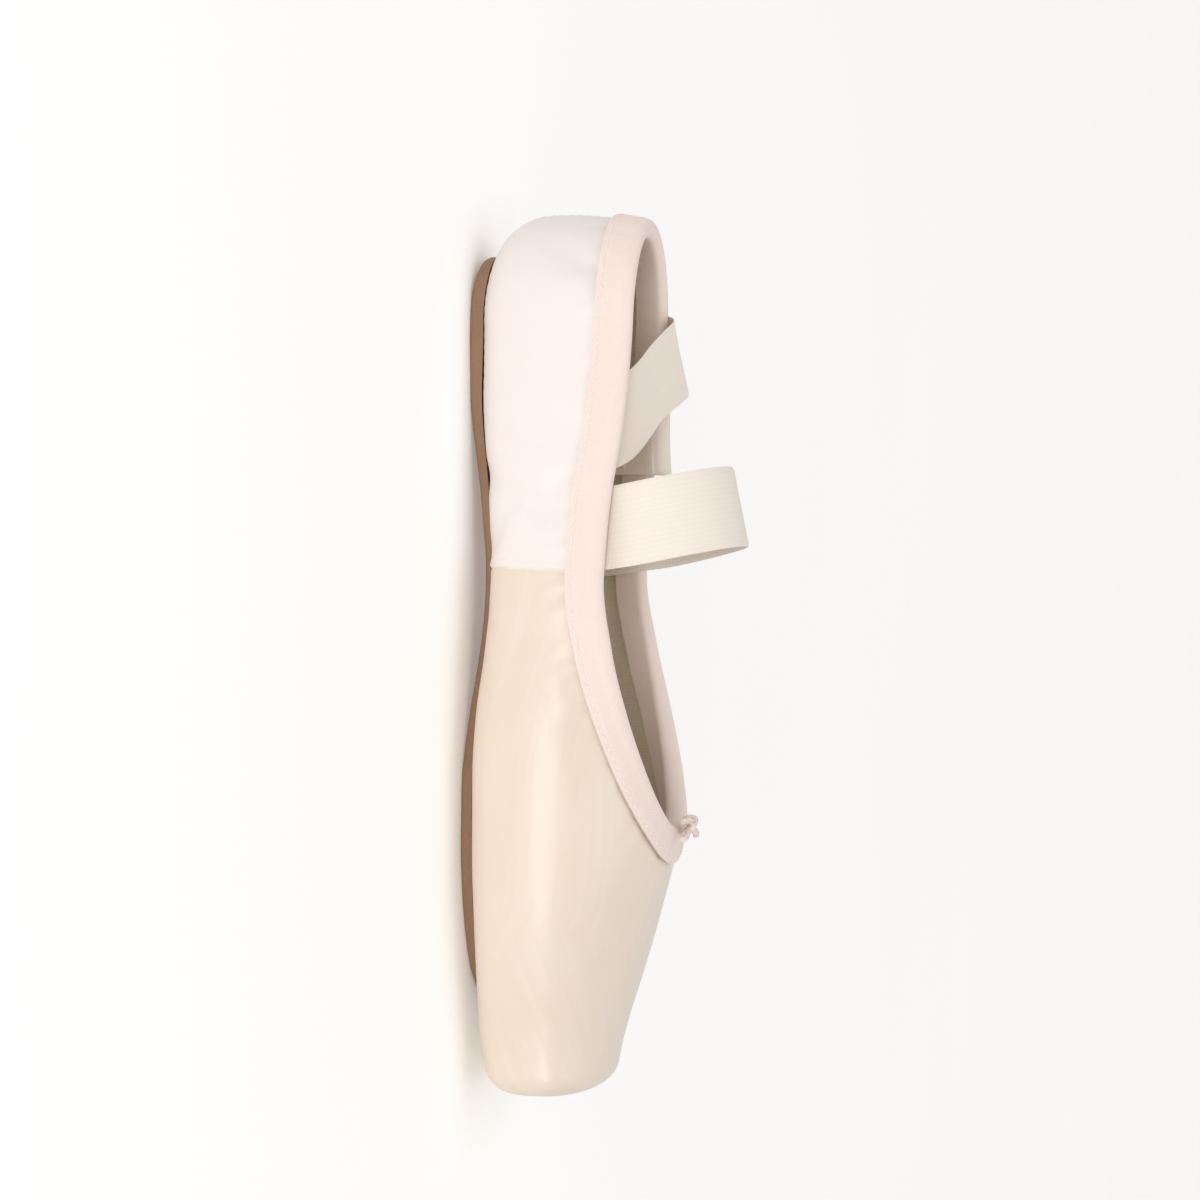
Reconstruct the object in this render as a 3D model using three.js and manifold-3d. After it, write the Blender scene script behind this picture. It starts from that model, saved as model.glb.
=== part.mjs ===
// A pointe shoe standing on its sole: hollow upper, outsole, insole, binding, drawstring knot, elastic and ribbons.
// Millimetres. +X points to the toe, +Y to the shoe's left, +Z up. The floor is z = 0 and the heel's back is
// at x = -LENGTH / 2. "station" is the distance forward from the heel's back.
import * as THREE from "three";
import Module from "manifold-3d";
import { mergeVertices } from "three/addons/utils/BufferGeometryUtils.js";

const wasm = await Module();
wasm.setup();

// Driving sizes
const LENGTH = 238;
const GAP = 0.3;
const SOLE_GAP = 0.5;
const CURVED_GAP = 0.7;
const INSIDE_GAP = 1;
const BOX_EDGE_RADIUS = 6;
const HEEL_CENTRE = 30;
const HEEL_REACH = 30;
const THROAT = 168;
const SOLE_OPENING_FRONT = 192;
const SOLE_OPENING_ANGLE = THREE.MathUtils.degToRad(30);
const SOLE_OPENING_ROUNDING = 26;
const THROAT_ROUNDING = 16;
const MARGIN_ROUNDING = 12;
const MARGIN_FADE = 4;
const SQUARE_ABOVE = 2.3;

// The last: half width at its widest, height of the underside, of the widest line and of the crest, squareness of
// the section below its widest line (2 is an ellipse), wall thickness.
const LAST = [
  { station: 0, half: 27.4, under: 2.5, wide: 22, crest: 70, square: 2.5, wall: 1.8 },
  { station: 30, half: 27.4, under: 2.5, wide: 22, crest: 70, square: 2.5, wall: 1.8 },
  { station: 48, half: 28.2, under: 2.5, wide: 21.4, crest: 69.5, square: 2.6, wall: 1.7 },
  { station: 76, half: 29.4, under: 4.8, wide: 20.5, crest: 67, square: 2.8, wall: 1.6 },
  { station: 98, half: 31.4, under: 6, wide: 21, crest: 64, square: 3, wall: 1.6 },
  { station: 116, half: 35, under: 5.2, wide: 20.5, crest: 60.5, square: 3.1, wall: 1.7 },
  { station: 136, half: 39.6, under: 3.3, wide: 19.5, crest: 56.5, square: 3.2, wall: 2 },
  { station: 154, half: 41.7, under: 2.5, wide: 19, crest: 54.8, square: 3.2, wall: 2.3 },
  { station: 171, half: 42, under: 2.5, wide: 19, crest: 53.4, square: 3.2, wall: 2.6 },
  { station: 190, half: 39.6, under: 2.5, wide: 19, crest: 48.8, square: 3.2, wall: 3 },
  { station: 208, half: 34.2, under: 2.5, wide: 19, crest: 43.6, square: 3.2, wall: 3.4 },
  { station: 219, half: 30.2, under: 2.3, wide: 19.2, crest: 40.2, square: 3.2, wall: 3.8 },
  { station: 228, half: 27.8, under: 3, wide: 20, crest: 37.8, square: 3.2, wall: 4.2 },
  { station: 238, half: 26.8, under: 5.4, wide: 21, crest: 36, square: 3.2, wall: 5 },
];

// How far the collar's edge lies below the crest, by distance behind the front of the throat.
const COLLAR = [
  { behind: 0, drop: 0 },
  { behind: 16, drop: 5.4 },
  { behind: 32, drop: 11.2 },
  { behind: 50, drop: 19 },
  { behind: 70, drop: 25.5 },
  { behind: 90, drop: 26.8 },
  { behind: 108, drop: 25.8 },
  { behind: 138, drop: 24.6 },
  { behind: 168, drop: 23.6 },
];

// The outsole's outline and the height of its tread, which is 0 under the heel and the ball.
const SOLE_THICKNESS = 2;
const SOLE_BEVEL = 0.8;
const OUTSOLE = [
  { station: 11, half: 3, tread: 2 },
  { station: 12.2, half: 7, tread: 1.5 },
  { station: 15, half: 10.6, tread: 0.8 },
  { station: 19, half: 13, tread: 0.2 },
  { station: 25, half: 14.4, tread: 0 },
  { station: 36, half: 15, tread: 0 },
  { station: 48, half: 14.6, tread: 0 },
  { station: 76, half: 12.4, tread: 2.3 },
  { station: 98, half: 11.6, tread: 3.6 },
  { station: 116, half: 13.4, tread: 2.8 },
  { station: 136, half: 19, tread: 0.9 },
  { station: 154, half: 24, tread: 0 },
  { station: 172, half: 25, tread: 0 },
  { station: 190, half: 21.8, tread: 0 },
  { station: 202, half: 17, tread: 0.2 },
  { station: 208, half: 12.6, tread: 0.5 },
  { station: 211.5, half: 7.6, tread: 0.7 },
  { station: 212.6, half: 3, tread: 0.8 },
];

// The insole's outline. It lies on the lasting margin.
const INSOLE_THICKNESS = 1.8;
const INSOLE_GAP = 0.8;
const INSOLE = [
  { station: 11, half: 3 },
  { station: 12.4, half: 7.4 },
  { station: 15.6, half: 11.2 },
  { station: 21, half: 14 },
  { station: 30, half: 15.6 },
  { station: 50, half: 16.2 },
  { station: 76, half: 16.4 },
  { station: 98, half: 18 },
  { station: 116, half: 21 },
  { station: 136, half: 25.4 },
  { station: 158, half: 28 },
  { station: 176, half: 27 },
  { station: 196, half: 22.5 },
  { station: 212, half: 17 },
  { station: 220, half: 12.6 },
  { station: 224, half: 8 },
  { station: 225.5, half: 3 },
];

// The binding folds over the collar's edge.
const BINDING_THICKNESS = 0.9;
const BINDING_OUTSIDE = 8.5;
const BINDING_INSIDE = 6.5;
const BINDING_CORNER = 0.7;

// How the binding's sections crowd round the front of the throat and even out behind it.
const THROAT_CROWDING = 1.35;
const THROAT_SHARE = 0.75;
const EVEN_FROM = 0.35;
const EVEN_TO = 0.9;

// The drawstring's knot on the binding, at the front of the throat.
const KNOT = { behind: 1.5, length: 6.5, width: 8.5, height: 4.6 };
const DRAWSTRING_RADIUS = 1;
const DRAWSTRING = [
  { x: 50.6, y: 9.6, above: 2.4 },
  { x: 49.8, y: 7.6, above: 3 },
  { x: 48.6, y: 4.6, above: 3 },
  { x: 47.8, y: 1.6, above: 2.8 },
];

// Flat bands: half width and half thickness. A row is a point of the band's middle and its twist in degrees.
const RIBBON = { halfWidth: 11, halfThickness: 0.45 };
const ELASTIC = { halfWidth: 11, halfThickness: 0.5 };

const ELASTIC_ROUTE = [
  { x: -31, y: -26.3, z: 21, twist: -5 },
  { x: -31.5, y: -25.9, z: 27, twist: -5 },
  { x: -32.2, y: -24.3, z: 33, twist: -5 },
  { x: -33, y: -23.25, z: 39, twist: -5 },
  { x: -34, y: -24.6, z: 46, twist: -3 },
  { x: -35.6, y: -23.6, z: 54, twist: 0 },
  { x: -37.4, y: -19, z: 62.5, twist: 0 },
  { x: -38.8, y: -10.8, z: 69, twist: 0 },
  { x: -39.3, y: 0, z: 71.4, twist: 0 },
  { x: -38.8, y: 10.8, z: 69, twist: 0 },
  { x: -37.4, y: 19, z: 62.5, twist: 0 },
  { x: -35.6, y: 23.6, z: 54, twist: 0 },
  { x: -34, y: 24.6, z: 46, twist: -3 },
  { x: -33, y: 23.25, z: 39, twist: -5 },
  { x: -32.2, y: 24.3, z: 33, twist: -5 },
  { x: -31.5, y: 25.9, z: 27, twist: -5 },
  { x: -31, y: 26.3, z: 21, twist: -5 },
];

// Out of the left quarter, over its collar, down to the floor and forward beside the shoe, then back.
const LEFT_RIBBON_ROUTE = [
  { x: -60, y: 23.2, z: 22, twist: 0 },
  { x: -60, y: 22.3, z: 31, twist: 2 },
  { x: -60, y: 21.3, z: 39, twist: 3 },
  { x: -60, y: 21.5, z: 44.8, twist: 2 },
  { x: -60, y: 25.2, z: 47.6, twist: 0 },
  { x: -60, y: 29.2, z: 45.8, twist: 0 },
  { x: -60.3, y: 30.6, z: 37, twist: 0 },
  { x: -60.8, y: 31.4, z: 24, twist: 0 },
  { x: -61.4, y: 34, z: 9, twist: 0 },
  { x: -61.5, y: 42, z: 1.6, twist: 0 },
  { x: -58, y: 56, z: 0.8, twist: 0 },
  { x: -46, y: 68, z: 3, twist: 12 },
  { x: -25, y: 75, z: 6.5, twist: 32 },
  { x: 0, y: 74, z: 5, twist: 22 },
  { x: 26, y: 68, z: 0.8, twist: 0 },
  { x: 52, y: 65, z: 2.6, twist: -10 },
  { x: 77, y: 68, z: 7, twist: -34 },
  { x: 96, y: 83, z: 10.6, twist: -64 },
  { x: 92, y: 105, z: 10, twist: -60 },
  { x: 73, y: 117, z: 6.5, twist: -32 },
  { x: 50, y: 117, z: 3, twist: -12 },
  { x: 27, y: 112, z: 0.8, twist: 0 },
  { x: 4, y: 105, z: 3, twist: 12 },
  { x: -20, y: 103, z: 5, twist: 22 },
  { x: -42, y: 107, z: 2, twist: 8 },
  { x: -60, y: 108, z: 0.8, twist: 0 },
  { x: -78, y: 105, z: 0.8, twist: 0 },
];

// Out of the right quarter, across the opening, over the left side of the collar behind the other, then forward.
const RIGHT_RIBBON_ROUTE = [
  { x: -54, y: -22.6, z: 22, twist: -3 },
  { x: -56.2, y: -21.4, z: 30, twist: -4 },
  { x: -59.6, y: -18.6, z: 37.4, twist: 2 },
  { x: -63.4, y: -12.6, z: 43, twist: 24 },
  { x: -68.4, y: -4, z: 46, twist: 31 },
  { x: -73.4, y: 5.6, z: 47.4, twist: 30 },
  { x: -78, y: 15, z: 49.8, twist: 27 },
  { x: -81.4, y: 23.6, z: 51, twist: 24 },
  { x: -83.4, y: 31, z: 47.6, twist: 21 },
  { x: -85, y: 32.2, z: 39.6, twist: 20 },
  { x: -86.6, y: 32.6, z: 28, twist: 17 },
  { x: -88.8, y: 33.6, z: 15, twist: 16 },
  { x: -92, y: 37, z: 5, twist: 16 },
  { x: -96, y: 45, z: 1, twist: 24 },
  { x: -102, y: 59, z: 0.8, twist: 27 },
  { x: -110, y: 75, z: 2.6, twist: 14 },
  { x: -113, y: 94, z: 5.4, twist: -8 },
  { x: -106, y: 113, z: 8, twist: -26 },
  { x: -90, y: 129, z: 8, twist: -28 },
  { x: -66, y: 139, z: 4.6, twist: 4 },
  { x: -38, y: 142, z: 0.8, twist: 26 },
  { x: -10, y: 139, z: 2.6, twist: 36 },
  { x: 18, y: 139, z: 5, twist: 46 },
  { x: 44, y: 146, z: 2, twist: 32 },
  { x: 68, y: 154, z: 0.8, twist: 28 },
  { x: 92, y: 156, z: 2, twist: 22 },
  { x: 116, y: 151, z: 0.8, twist: 30 },
];

// Fineness of the faceted surfaces.
const TOE_STATIONS = [174, 199, 206, 213, 219, 224, 228.5];
const ACROSS = [-1, -0.82, -0.6, -0.35, 0, 0.35, 0.6, 0.82, 1];
const ACROSS_LIMIT = 0.98;
const INSOLE_EDGE_DRAFT = 0.99;
const LONGEST_STRETCH = 11;
const STRETCH_STEP = 9;
const WELD = 0.002;
const HEEL_STEPS = 9;
const QUARTER_STEP = 7;
const ROUND_STEPS = 4;
const CAP_RINGS = 2;
const SECTION_STEPS = 15;
const BINDING_STEPS = 30;
const RIBBON_STEP = 7;
const FLOOR_GAP = 0.05;
const TINY = 1e-6;

// Value of a table's column at a place, by a cubic that never overshoots its rows.
function along(rows, key, column, place) {
  const last = rows.length - 1;
  if (place <= rows[0][key]) {
    return rows[0][column];
  }
  if (place >= rows[last][key]) {
    return rows[last][column];
  }
  const i = rows.findIndex((row) => row[key] > place) - 1;
  const run = (k) => rows[k + 1][key] - rows[k][key];
  const slope = (k) => (rows[k + 1][column] - rows[k][column]) / run(k);
  const tangent = (k) => {
    if (k === 0) {
      return slope(0);
    }
    if (k === last) {
      return slope(last - 1);
    }
    const before = slope(k - 1);
    const after = slope(k);
    const middle = (before * run(k) + after * run(k - 1)) / (run(k) + run(k - 1));
    const least = Math.min(Math.abs(before), Math.abs(after), Math.abs(middle) / 2);
    return (Math.sign(before) + Math.sign(after)) * least;
  };
  const width = run(i);
  const from = tangent(i);
  const to = tangent(i + 1);
  const rise = slope(i);
  const d = place - rows[i][key];
  const cubic = (from + to - 2 * rise) / width ** 2;
  const square = (3 * rise - 2 * from - to) / width;
  return ((cubic * d + square) * d + from) * d + rows[i][column];
}

const lastAt = (column, station) => along(LAST, "station", column, station);

// The section of the last at a station, with the rounded edge of the platform taken off.
function sectionAt(station) {
  const intoEdge = Math.max(0, station - (LENGTH - BOX_EDGE_RADIUS));
  const trim = BOX_EDGE_RADIUS - Math.sqrt(Math.max(0, BOX_EDGE_RADIUS ** 2 - intoEdge ** 2));
  const wide = lastAt("wide", station);
  return {
    half: lastAt("half", station) - trim,
    wide,
    below: wide - lastAt("under", station) - trim,
    above: lastAt("crest", station) - trim - wide,
    square: lastAt("square", station),
  };
}

// Outward measure of a point across the last: 1 on its surface, less inside.
// Behind the heel centre the sections turn about the vertical line at that centre.
function measure(x, y, z) {
  const station = x + LENGTH / 2;
  const section = sectionAt(Math.max(station, HEEL_CENTRE));
  const behind = Math.max(0, HEEL_CENTRE - station) * (section.half / HEEL_REACH);
  const across = Math.hypot(y, behind) / section.half;
  const below = z < section.wide;
  const up = Math.abs(z - section.wide) / (below ? section.below : section.above);
  const power = below ? section.square : SQUARE_ABOVE;
  return (across ** power + up ** power) ** (1 / power);
}

// Outward direction of the last's surface near a point.
function outward(p) {
  const h = 0.05;
  return new THREE.Vector3(
    measure(p.x + h, p.y, p.z) - measure(p.x - h, p.y, p.z),
    measure(p.x, p.y + h, p.z) - measure(p.x, p.y - h, p.z),
    measure(p.x, p.y, p.z + h) - measure(p.x, p.y, p.z - h),
  ).normalize();
}

// Moves a point straight out or in until it lies on the last's surface.
function settle(p) {
  const settled = p.clone();
  for (let round = 0; round < 6; round += 1) {
    const direction = outward(settled);
    const step = 0.05;
    const ahead = settled.clone().addScaledVector(direction, step);
    const value = measure(settled.x, settled.y, settled.z);
    const slope = (measure(ahead.x, ahead.y, ahead.z) - value) / step;
    settled.addScaledVector(direction, (1 - value) / slope);
  }
  return settled;
}

// Point of the last's surface: heel sections are turned about the heel centre by "turn" (90 degrees is straight
// across), and "angle" runs up the side from straight down (0) to the crest (180 degrees).
function lastPoint(station, turn, angle) {
  const section = sectionAt(station);
  const side = Math.sin(angle);
  const up = -Math.cos(angle);
  const power = up < 0 ? section.square : SQUARE_ABOVE;
  const height = up < 0 ? section.below : section.above;
  const reach = ((side / section.half) ** power + (Math.abs(up) / height) ** power) ** (-1 / power);
  const across = side * reach;
  return new THREE.Vector3(
    station - across * (HEEL_REACH / section.half) * Math.cos(turn) - LENGTH / 2,
    across * Math.sin(turn),
    section.wide + up * reach,
  );
}

// Height of the collar's edge at a station behind the throat.
function collarHeight(station) {
  return lastAt("crest", station) - along(COLLAR, "behind", "drop", THROAT - station);
}

// Angle up the section at which the collar's edge lies: 180 degrees in front of the throat.
function collarAngle(station, turn) {
  const behindCentre = HEEL_REACH * Math.cos(turn);
  const height = collarHeight(Math.min(station - behindCentre, THROAT));
  if (station >= THROAT) {
    return Math.PI;
  }
  let low = Math.PI / 2;
  let high = Math.PI;
  for (let round = 0; round < 40; round += 1) {
    const middle = (low + high) / 2;
    if (lastPoint(station, turn, middle).z < height) {
      low = middle;
    } else {
      high = middle;
    }
  }
  return (low + high) / 2;
}

// Angle at which the lasting margin begins: 0, straight down, in front of the sole opening.
function marginAngle(station) {
  const behind = Math.max(0, SOLE_OPENING_FRONT - station);
  const rounded = Math.min(1, behind / SOLE_OPENING_ROUNDING);
  return SOLE_OPENING_ANGLE * Math.sqrt(1 - (1 - rounded) ** 2);
}

// The sections that the upper's surfaces pass through, from the heel's back to the platform.
function upperStations() {
  const rows = [];
  for (let i = 0; i < HEEL_STEPS; i += 1) {
    rows.push({ station: HEEL_CENTRE, turn: (Math.PI / 2) * (i / HEEL_STEPS) });
  }
  const straight = new Set([HEEL_CENTRE, THROAT, SOLE_OPENING_FRONT]);
  const roundEnd = (front, length) => {
    for (let i = 1; i <= ROUND_STEPS; i += 1) {
      straight.add(front - length * (1 - Math.cos((Math.PI / 2) * (i / ROUND_STEPS))));
    }
  };
  roundEnd(THROAT, THROAT_ROUNDING);
  roundEnd(SOLE_OPENING_FRONT, MARGIN_ROUNDING);
  const quarterEnd = THROAT - THROAT_ROUNDING;
  for (let station = HEEL_CENTRE + QUARTER_STEP; station < quarterEnd; station += QUARTER_STEP) {
    straight.add(station);
  }
  TOE_STATIONS.forEach((station) => straight.add(station));
  for (let i = 0; i <= ROUND_STEPS; i += 1) {
    straight.add(LENGTH - BOX_EDGE_RADIUS * (1 - Math.sin((Math.PI / 2) * (i / ROUND_STEPS))));
  }
  [...straight].sort((a, b) => a - b).forEach((station) => rows.push({ station, turn: Math.PI / 2 }));
  return rows;
}

// A mesh from rows of points: collects vertices once and skips faces that close to a line.
class Shell {
  constructor() {
    this.positions = [];
    this.faces = [];
    this.index = new Map();
  }

  vertex(p) {
    const key = [p.x, p.y, p.z].map((value) => Math.round(value / WELD)).join(",");
    if (!this.index.has(key)) {
      this.index.set(key, this.positions.length / 3);
      this.positions.push(p.x, p.y, p.z);
    }
    return this.index.get(key);
  }

  triangle(a, b, c) {
    const corners = [a, b, c].map((p) => this.vertex(p));
    if (new Set(corners).size === 3) {
      this.faces.push(...corners);
    }
  }

  quad(a, b, c, d) {
    this.triangle(a, b, c);
    this.triangle(a, c, d);
  }

  // Faces between neighbouring rows, each row running the same way. "closed" joins each row's ends.
  grid(rows, closed = false) {
    for (let i = 0; i + 1 < rows.length; i += 1) {
      const count = rows[i].length;
      const last = closed ? count : count - 1;
      for (let j = 0; j < last; j += 1) {
        const k = (j + 1) % count;
        this.quad(rows[i][j], rows[i][k], rows[i + 1][k], rows[i + 1][j]);
      }
    }
  }

  // A flat lid over a ring of points, fanned from the ring's middle.
  lid(ring) {
    const middle = ring.reduce((sum, p) => sum.add(p), new THREE.Vector3()).divideScalar(ring.length);
    ring.forEach((p, i) => this.triangle(middle, p, ring[(i + 1) % ring.length]));
  }

  geometry() {
    const made = new THREE.BufferGeometry();
    made.setAttribute("position", new THREE.Float32BufferAttribute(this.positions, 3));
    made.setIndex(this.faces);
    return made;
  }
}

const mirrored = (p) => new THREE.Vector3(p.x, -p.y, p.z);

// The wall's thickness at a station, by table.
const wallAt = (station) => lastAt("wall", station);

// One row of the upper's outer surface on the left side and the matching inner row.
function upperRow({ station, turn }) {
  const from = marginAngle(station);
  const to = collarAngle(station, turn);
  const outer = [];
  const inner = [];
  const behindCentre = HEEL_REACH * Math.cos(turn);
  for (let j = 0; j <= SECTION_STEPS; j += 1) {
    const share = j / SECTION_STEPS;
    const angle = to * share + from * (1 - share) ** MARGIN_FADE;
    const p = lastPoint(station, turn, angle);
    const direction = outward(p);
    const onCentreLine = Math.abs(p.y) < TINY;
    if (onCentreLine) {
      p.y = 0;
      direction.y = 0;
      direction.normalize();
    }
    const wall = wallAt(station - behindCentre);
    outer.push(p);
    inner.push(p.clone().addScaledVector(direction, -wall));
  }
  return { outer, inner };
}

// The hollow upper: outer and inner skins joined at the collar's edge and at the lasting margin's edge.
function buildUpper() {
  const shell = new Shell();
  const rows = upperStations().map(upperRow);
  const whole = (row) => [...row.slice().reverse().map(mirrored), ...row];
  const outer = rows.map((row) => row.outer);
  const inner = rows.map((row) => row.inner);
  for (const side of [1, -1]) {
    const place = side > 0 ? (p) => p : mirrored;
    const turnRow = (row) => (side > 0 ? row.map(place) : row.map(place).reverse());
    shell.grid(outer.map(turnRow));
    shell.grid(inner.map((row) => turnRow(row).reverse()));
    const open = (pair) => pair.some((p) => p.y !== 0);
    const rim = (pairs) => {
      const lastOpen = pairs.findLastIndex(open);
      shell.grid(pairs.slice(0, lastOpen + 2).map((pair) => turnRow(pair)));
    };
    rim(rows.map((row) => [row.inner[0], row.outer[0]]));
    rim(rows.map((row) => [row.outer.at(-1), row.inner.at(-1)]));
  }
  addCap(shell, whole(outer.at(-1)), false);
  addCap(shell, whole(inner.at(-1)), true);
  return shell.geometry();
}

// Closes the toe with a nearly flat platform inside the last ring.
function addCap(shell, ring, inside) {
  const clean = ring.filter((p, i) => p.distanceTo(ring[(i + 1) % ring.length]) > 2 * WELD);
  const middle = new THREE.Vector3(0, 0, 0);
  clean.forEach((p) => middle.add(p));
  middle.divideScalar(clean.length);
  middle.y = 0;
  const rings = [clean];
  for (let k = 1; k < CAP_RINGS; k += 1) {
    rings.push(clean.map((p) => p.clone().lerp(middle, k / CAP_RINGS)));
  }
  const turned = inside ? rings.map((row) => row.slice().reverse()) : rings;
  shell.grid(turned, true);
  shell.lid(turned.at(-1));
}

// Height of the last's underside at a place on the sole.
function underside(station, y) {
  const section = sectionAt(Math.max(station, HEEL_CENTRE));
  const behind = Math.max(0, HEEL_CENTRE - station) * (section.half / HEEL_REACH);
  const across = Math.min(ACROSS_LIMIT, Math.hypot(y, behind) / section.half);
  return section.wide - section.below * (1 - across ** section.square) ** (1 / section.square);
}

// Height of the upper's inner surface above the floor at a place on the sole.
function footbed(station, y) {
  const h = 0.2;
  const slopeY = (underside(station, y + h) - underside(station, y - h)) / (2 * h);
  const slopeX = (underside(station + h, y) - underside(station - h, y)) / (2 * h);
  return underside(station, y) + wallAt(station) * Math.hypot(1, slopeX, slopeY);
}

// Places of an outline's table, with the long stretches divided.
function outlineStations(rows) {
  const places = [];
  rows.forEach((row, i) => {
    places.push(row.station);
    const run = i + 1 < rows.length ? rows[i + 1].station - row.station : 0;
    const parts = run > LONGEST_STRETCH ? Math.ceil(run / STRETCH_STEP) : 1;
    for (let k = 1; k < parts; k += 1) {
      places.push(row.station + (run * k) / parts);
    }
  });
  return places;
}

// The outsole: its top follows the upper's underside, its tread is flat across with a bevelled edge.
function buildOutsole() {
  const shell = new Shell();
  const rings = outlineStations(OUTSOLE).map((station) => {
    const half = along(OUTSOLE, "station", "half", station);
    const tread = along(OUTSOLE, "station", "tread", station);
    const bevel = Math.min(SOLE_BEVEL, half / 3);
    const top = ACROSS.map((share) => [share * half, underside(station, share * half) - SOLE_GAP]);
    const least = Math.min(...top.map(([, z]) => z));
    const foot = Math.max(tread, least - SOLE_THICKNESS);
    const edge = foot + Math.min(bevel, (least - foot) / 2);
    const bottom = [
      [half, edge],
      [half - bevel, foot],
      [0, foot],
      [bevel - half, foot],
      [-half, edge],
    ];
    return [...top, ...bottom].map(([y, z]) => new THREE.Vector3(station - LENGTH / 2, y, z));
  });
  shell.grid(rings, true);
  shell.lid(rings.at(-1));
  shell.lid(rings[0].slice().reverse());
  return shell.geometry();
}

// The insole: a board that follows the footbed.
function buildInsole() {
  const shell = new Shell();
  const rings = outlineStations(INSOLE).map((station) => {
    const half = along(INSOLE, "station", "half", station);
    const under = ACROSS.map((share) => [share * half, footbed(station, share * half) + INSOLE_GAP]);
    const over = under.map(([y, z]) => [y * INSOLE_EDGE_DRAFT, z + INSOLE_THICKNESS]);
    const ring = [...over, ...under.reverse()];
    return ring.map(([y, z]) => new THREE.Vector3(station - LENGTH / 2, y, z));
  });
  shell.grid(rings, true);
  shell.lid(rings.at(-1));
  shell.lid(rings[0].slice().reverse());
  return shell.geometry();
}

// The collar's edge on the left side, from the throat's front to the heel's back, with its directions:
// "out" of the surface and "down" the wall, away from the opening.
function collarEdge() {
  const places = [];
  const straightSteps = BINDING_STEPS - HEEL_STEPS;
  for (let i = 0; i <= straightSteps; i += 1) {
    const share = i / straightSteps;
    const eased = 1 - Math.cos((Math.PI / 2) * Math.min(1, share * THROAT_CROWDING));
    const blend = THREE.MathUtils.smoothstep(share, EVEN_FROM, EVEN_TO);
    const back = THREE.MathUtils.lerp(eased * THROAT_SHARE, share, blend);
    places.push({ station: THROAT - (THROAT - HEEL_CENTRE) * back, turn: Math.PI / 2 });
  }
  for (let i = 1; i <= HEEL_STEPS; i += 1) {
    places.push({ station: HEEL_CENTRE, turn: (Math.PI / 2) * (1 - i / HEEL_STEPS) });
  }
  const points = places.map(({ station, turn }) => lastPoint(station, turn, collarAngle(station, turn)));
  points[0].y = 0;
  points.at(-1).y = 0;
  return points.map((p, i) => {
    const before = i === 0 ? mirrored(points[1]) : points[i - 1];
    const after = i === points.length - 1 ? mirrored(points[i - 1]) : points[i + 1];
    const way = after.clone().sub(before).normalize();
    const out = outward(p);
    const down = way.clone().cross(out).normalize();
    return { p, out, down, wall: wallAt(p.x + LENGTH / 2) };
  });
}

// The binding: a folded strip whose two legs lie outside and inside the upper's edge.
function buildBinding() {
  const shell = new Shell();
  const near = CURVED_GAP;
  const far = CURVED_GAP + BINDING_THICKNESS;
  const deep = INSIDE_GAP + BINDING_THICKNESS;
  const section = ({ p, out, down, wall }) => {
    const at = (depth, offset) => {
      const place = p.clone().addScaledVector(down, depth);
      if (depth <= 0) {
        return place.addScaledVector(out, offset);
      }
      const settled = settle(place);
      return settled.addScaledVector(outward(settled), offset);
    };
    return [
      at(BINDING_OUTSIDE, far),
      at(BINDING_OUTSIDE / 2, far),
      at(0, far),
      at(-far, far - BINDING_CORNER),
      at(-far, -wall - deep + BINDING_CORNER),
      at(0, -wall - deep),
      at(BINDING_INSIDE, -wall - deep),
      at(BINDING_INSIDE, -wall - INSIDE_GAP),
      at(0, -wall - INSIDE_GAP),
      at(-near, -wall - INSIDE_GAP),
      at(-near, near),
      at(0, near),
      at(BINDING_OUTSIDE / 2, near),
      at(BINDING_OUTSIDE, near),
    ];
  };
  const left = collarEdge().map(section);
  const right = left.slice(1, -1).map((row) => row.map(mirrored));
  shell.grid([...left, ...right.reverse(), left[0]], true);
  return shell.geometry();
}

// A smooth curve through a route's rows, with the twist carried along. No edge sinks below the floor.
function routeFrames(rows, { halfWidth, halfThickness }) {
  const points = rows.map((row) => new THREE.Vector3(row.x, row.y, row.z));
  const curve = new THREE.CatmullRomCurve3(points, false, "centripetal");
  const sampled = [];
  for (let i = 0; i + 1 < rows.length; i += 1) {
    const parts = Math.max(1, Math.round(points[i].distanceTo(points[i + 1]) / RIBBON_STEP));
    for (let k = 0; k < parts; k += 1) {
      const t = (i + k / parts) / (rows.length - 1);
      sampled.push({ t, twist: THREE.MathUtils.lerp(rows[i].twist, rows[i + 1].twist, k / parts) });
    }
  }
  sampled.push({ t: 1, twist: rows.at(-1).twist });
  let across = new THREE.Vector3(1, 0, 0);
  return sampled.map(({ t, twist }) => {
    const way = curve.getTangent(t);
    across = across.clone().addScaledVector(way, -across.dot(way)).normalize();
    const turned = across.clone().applyAxisAngle(way, THREE.MathUtils.degToRad(twist));
    const face = way.clone().cross(turned);
    const p = curve.getPoint(t);
    const reach = Math.abs(turned.z) * halfWidth + Math.abs(face.z) * halfThickness;
    p.z = Math.max(p.z, reach + FLOOR_GAP);
    return { p, across: turned, face };
  });
}

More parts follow.
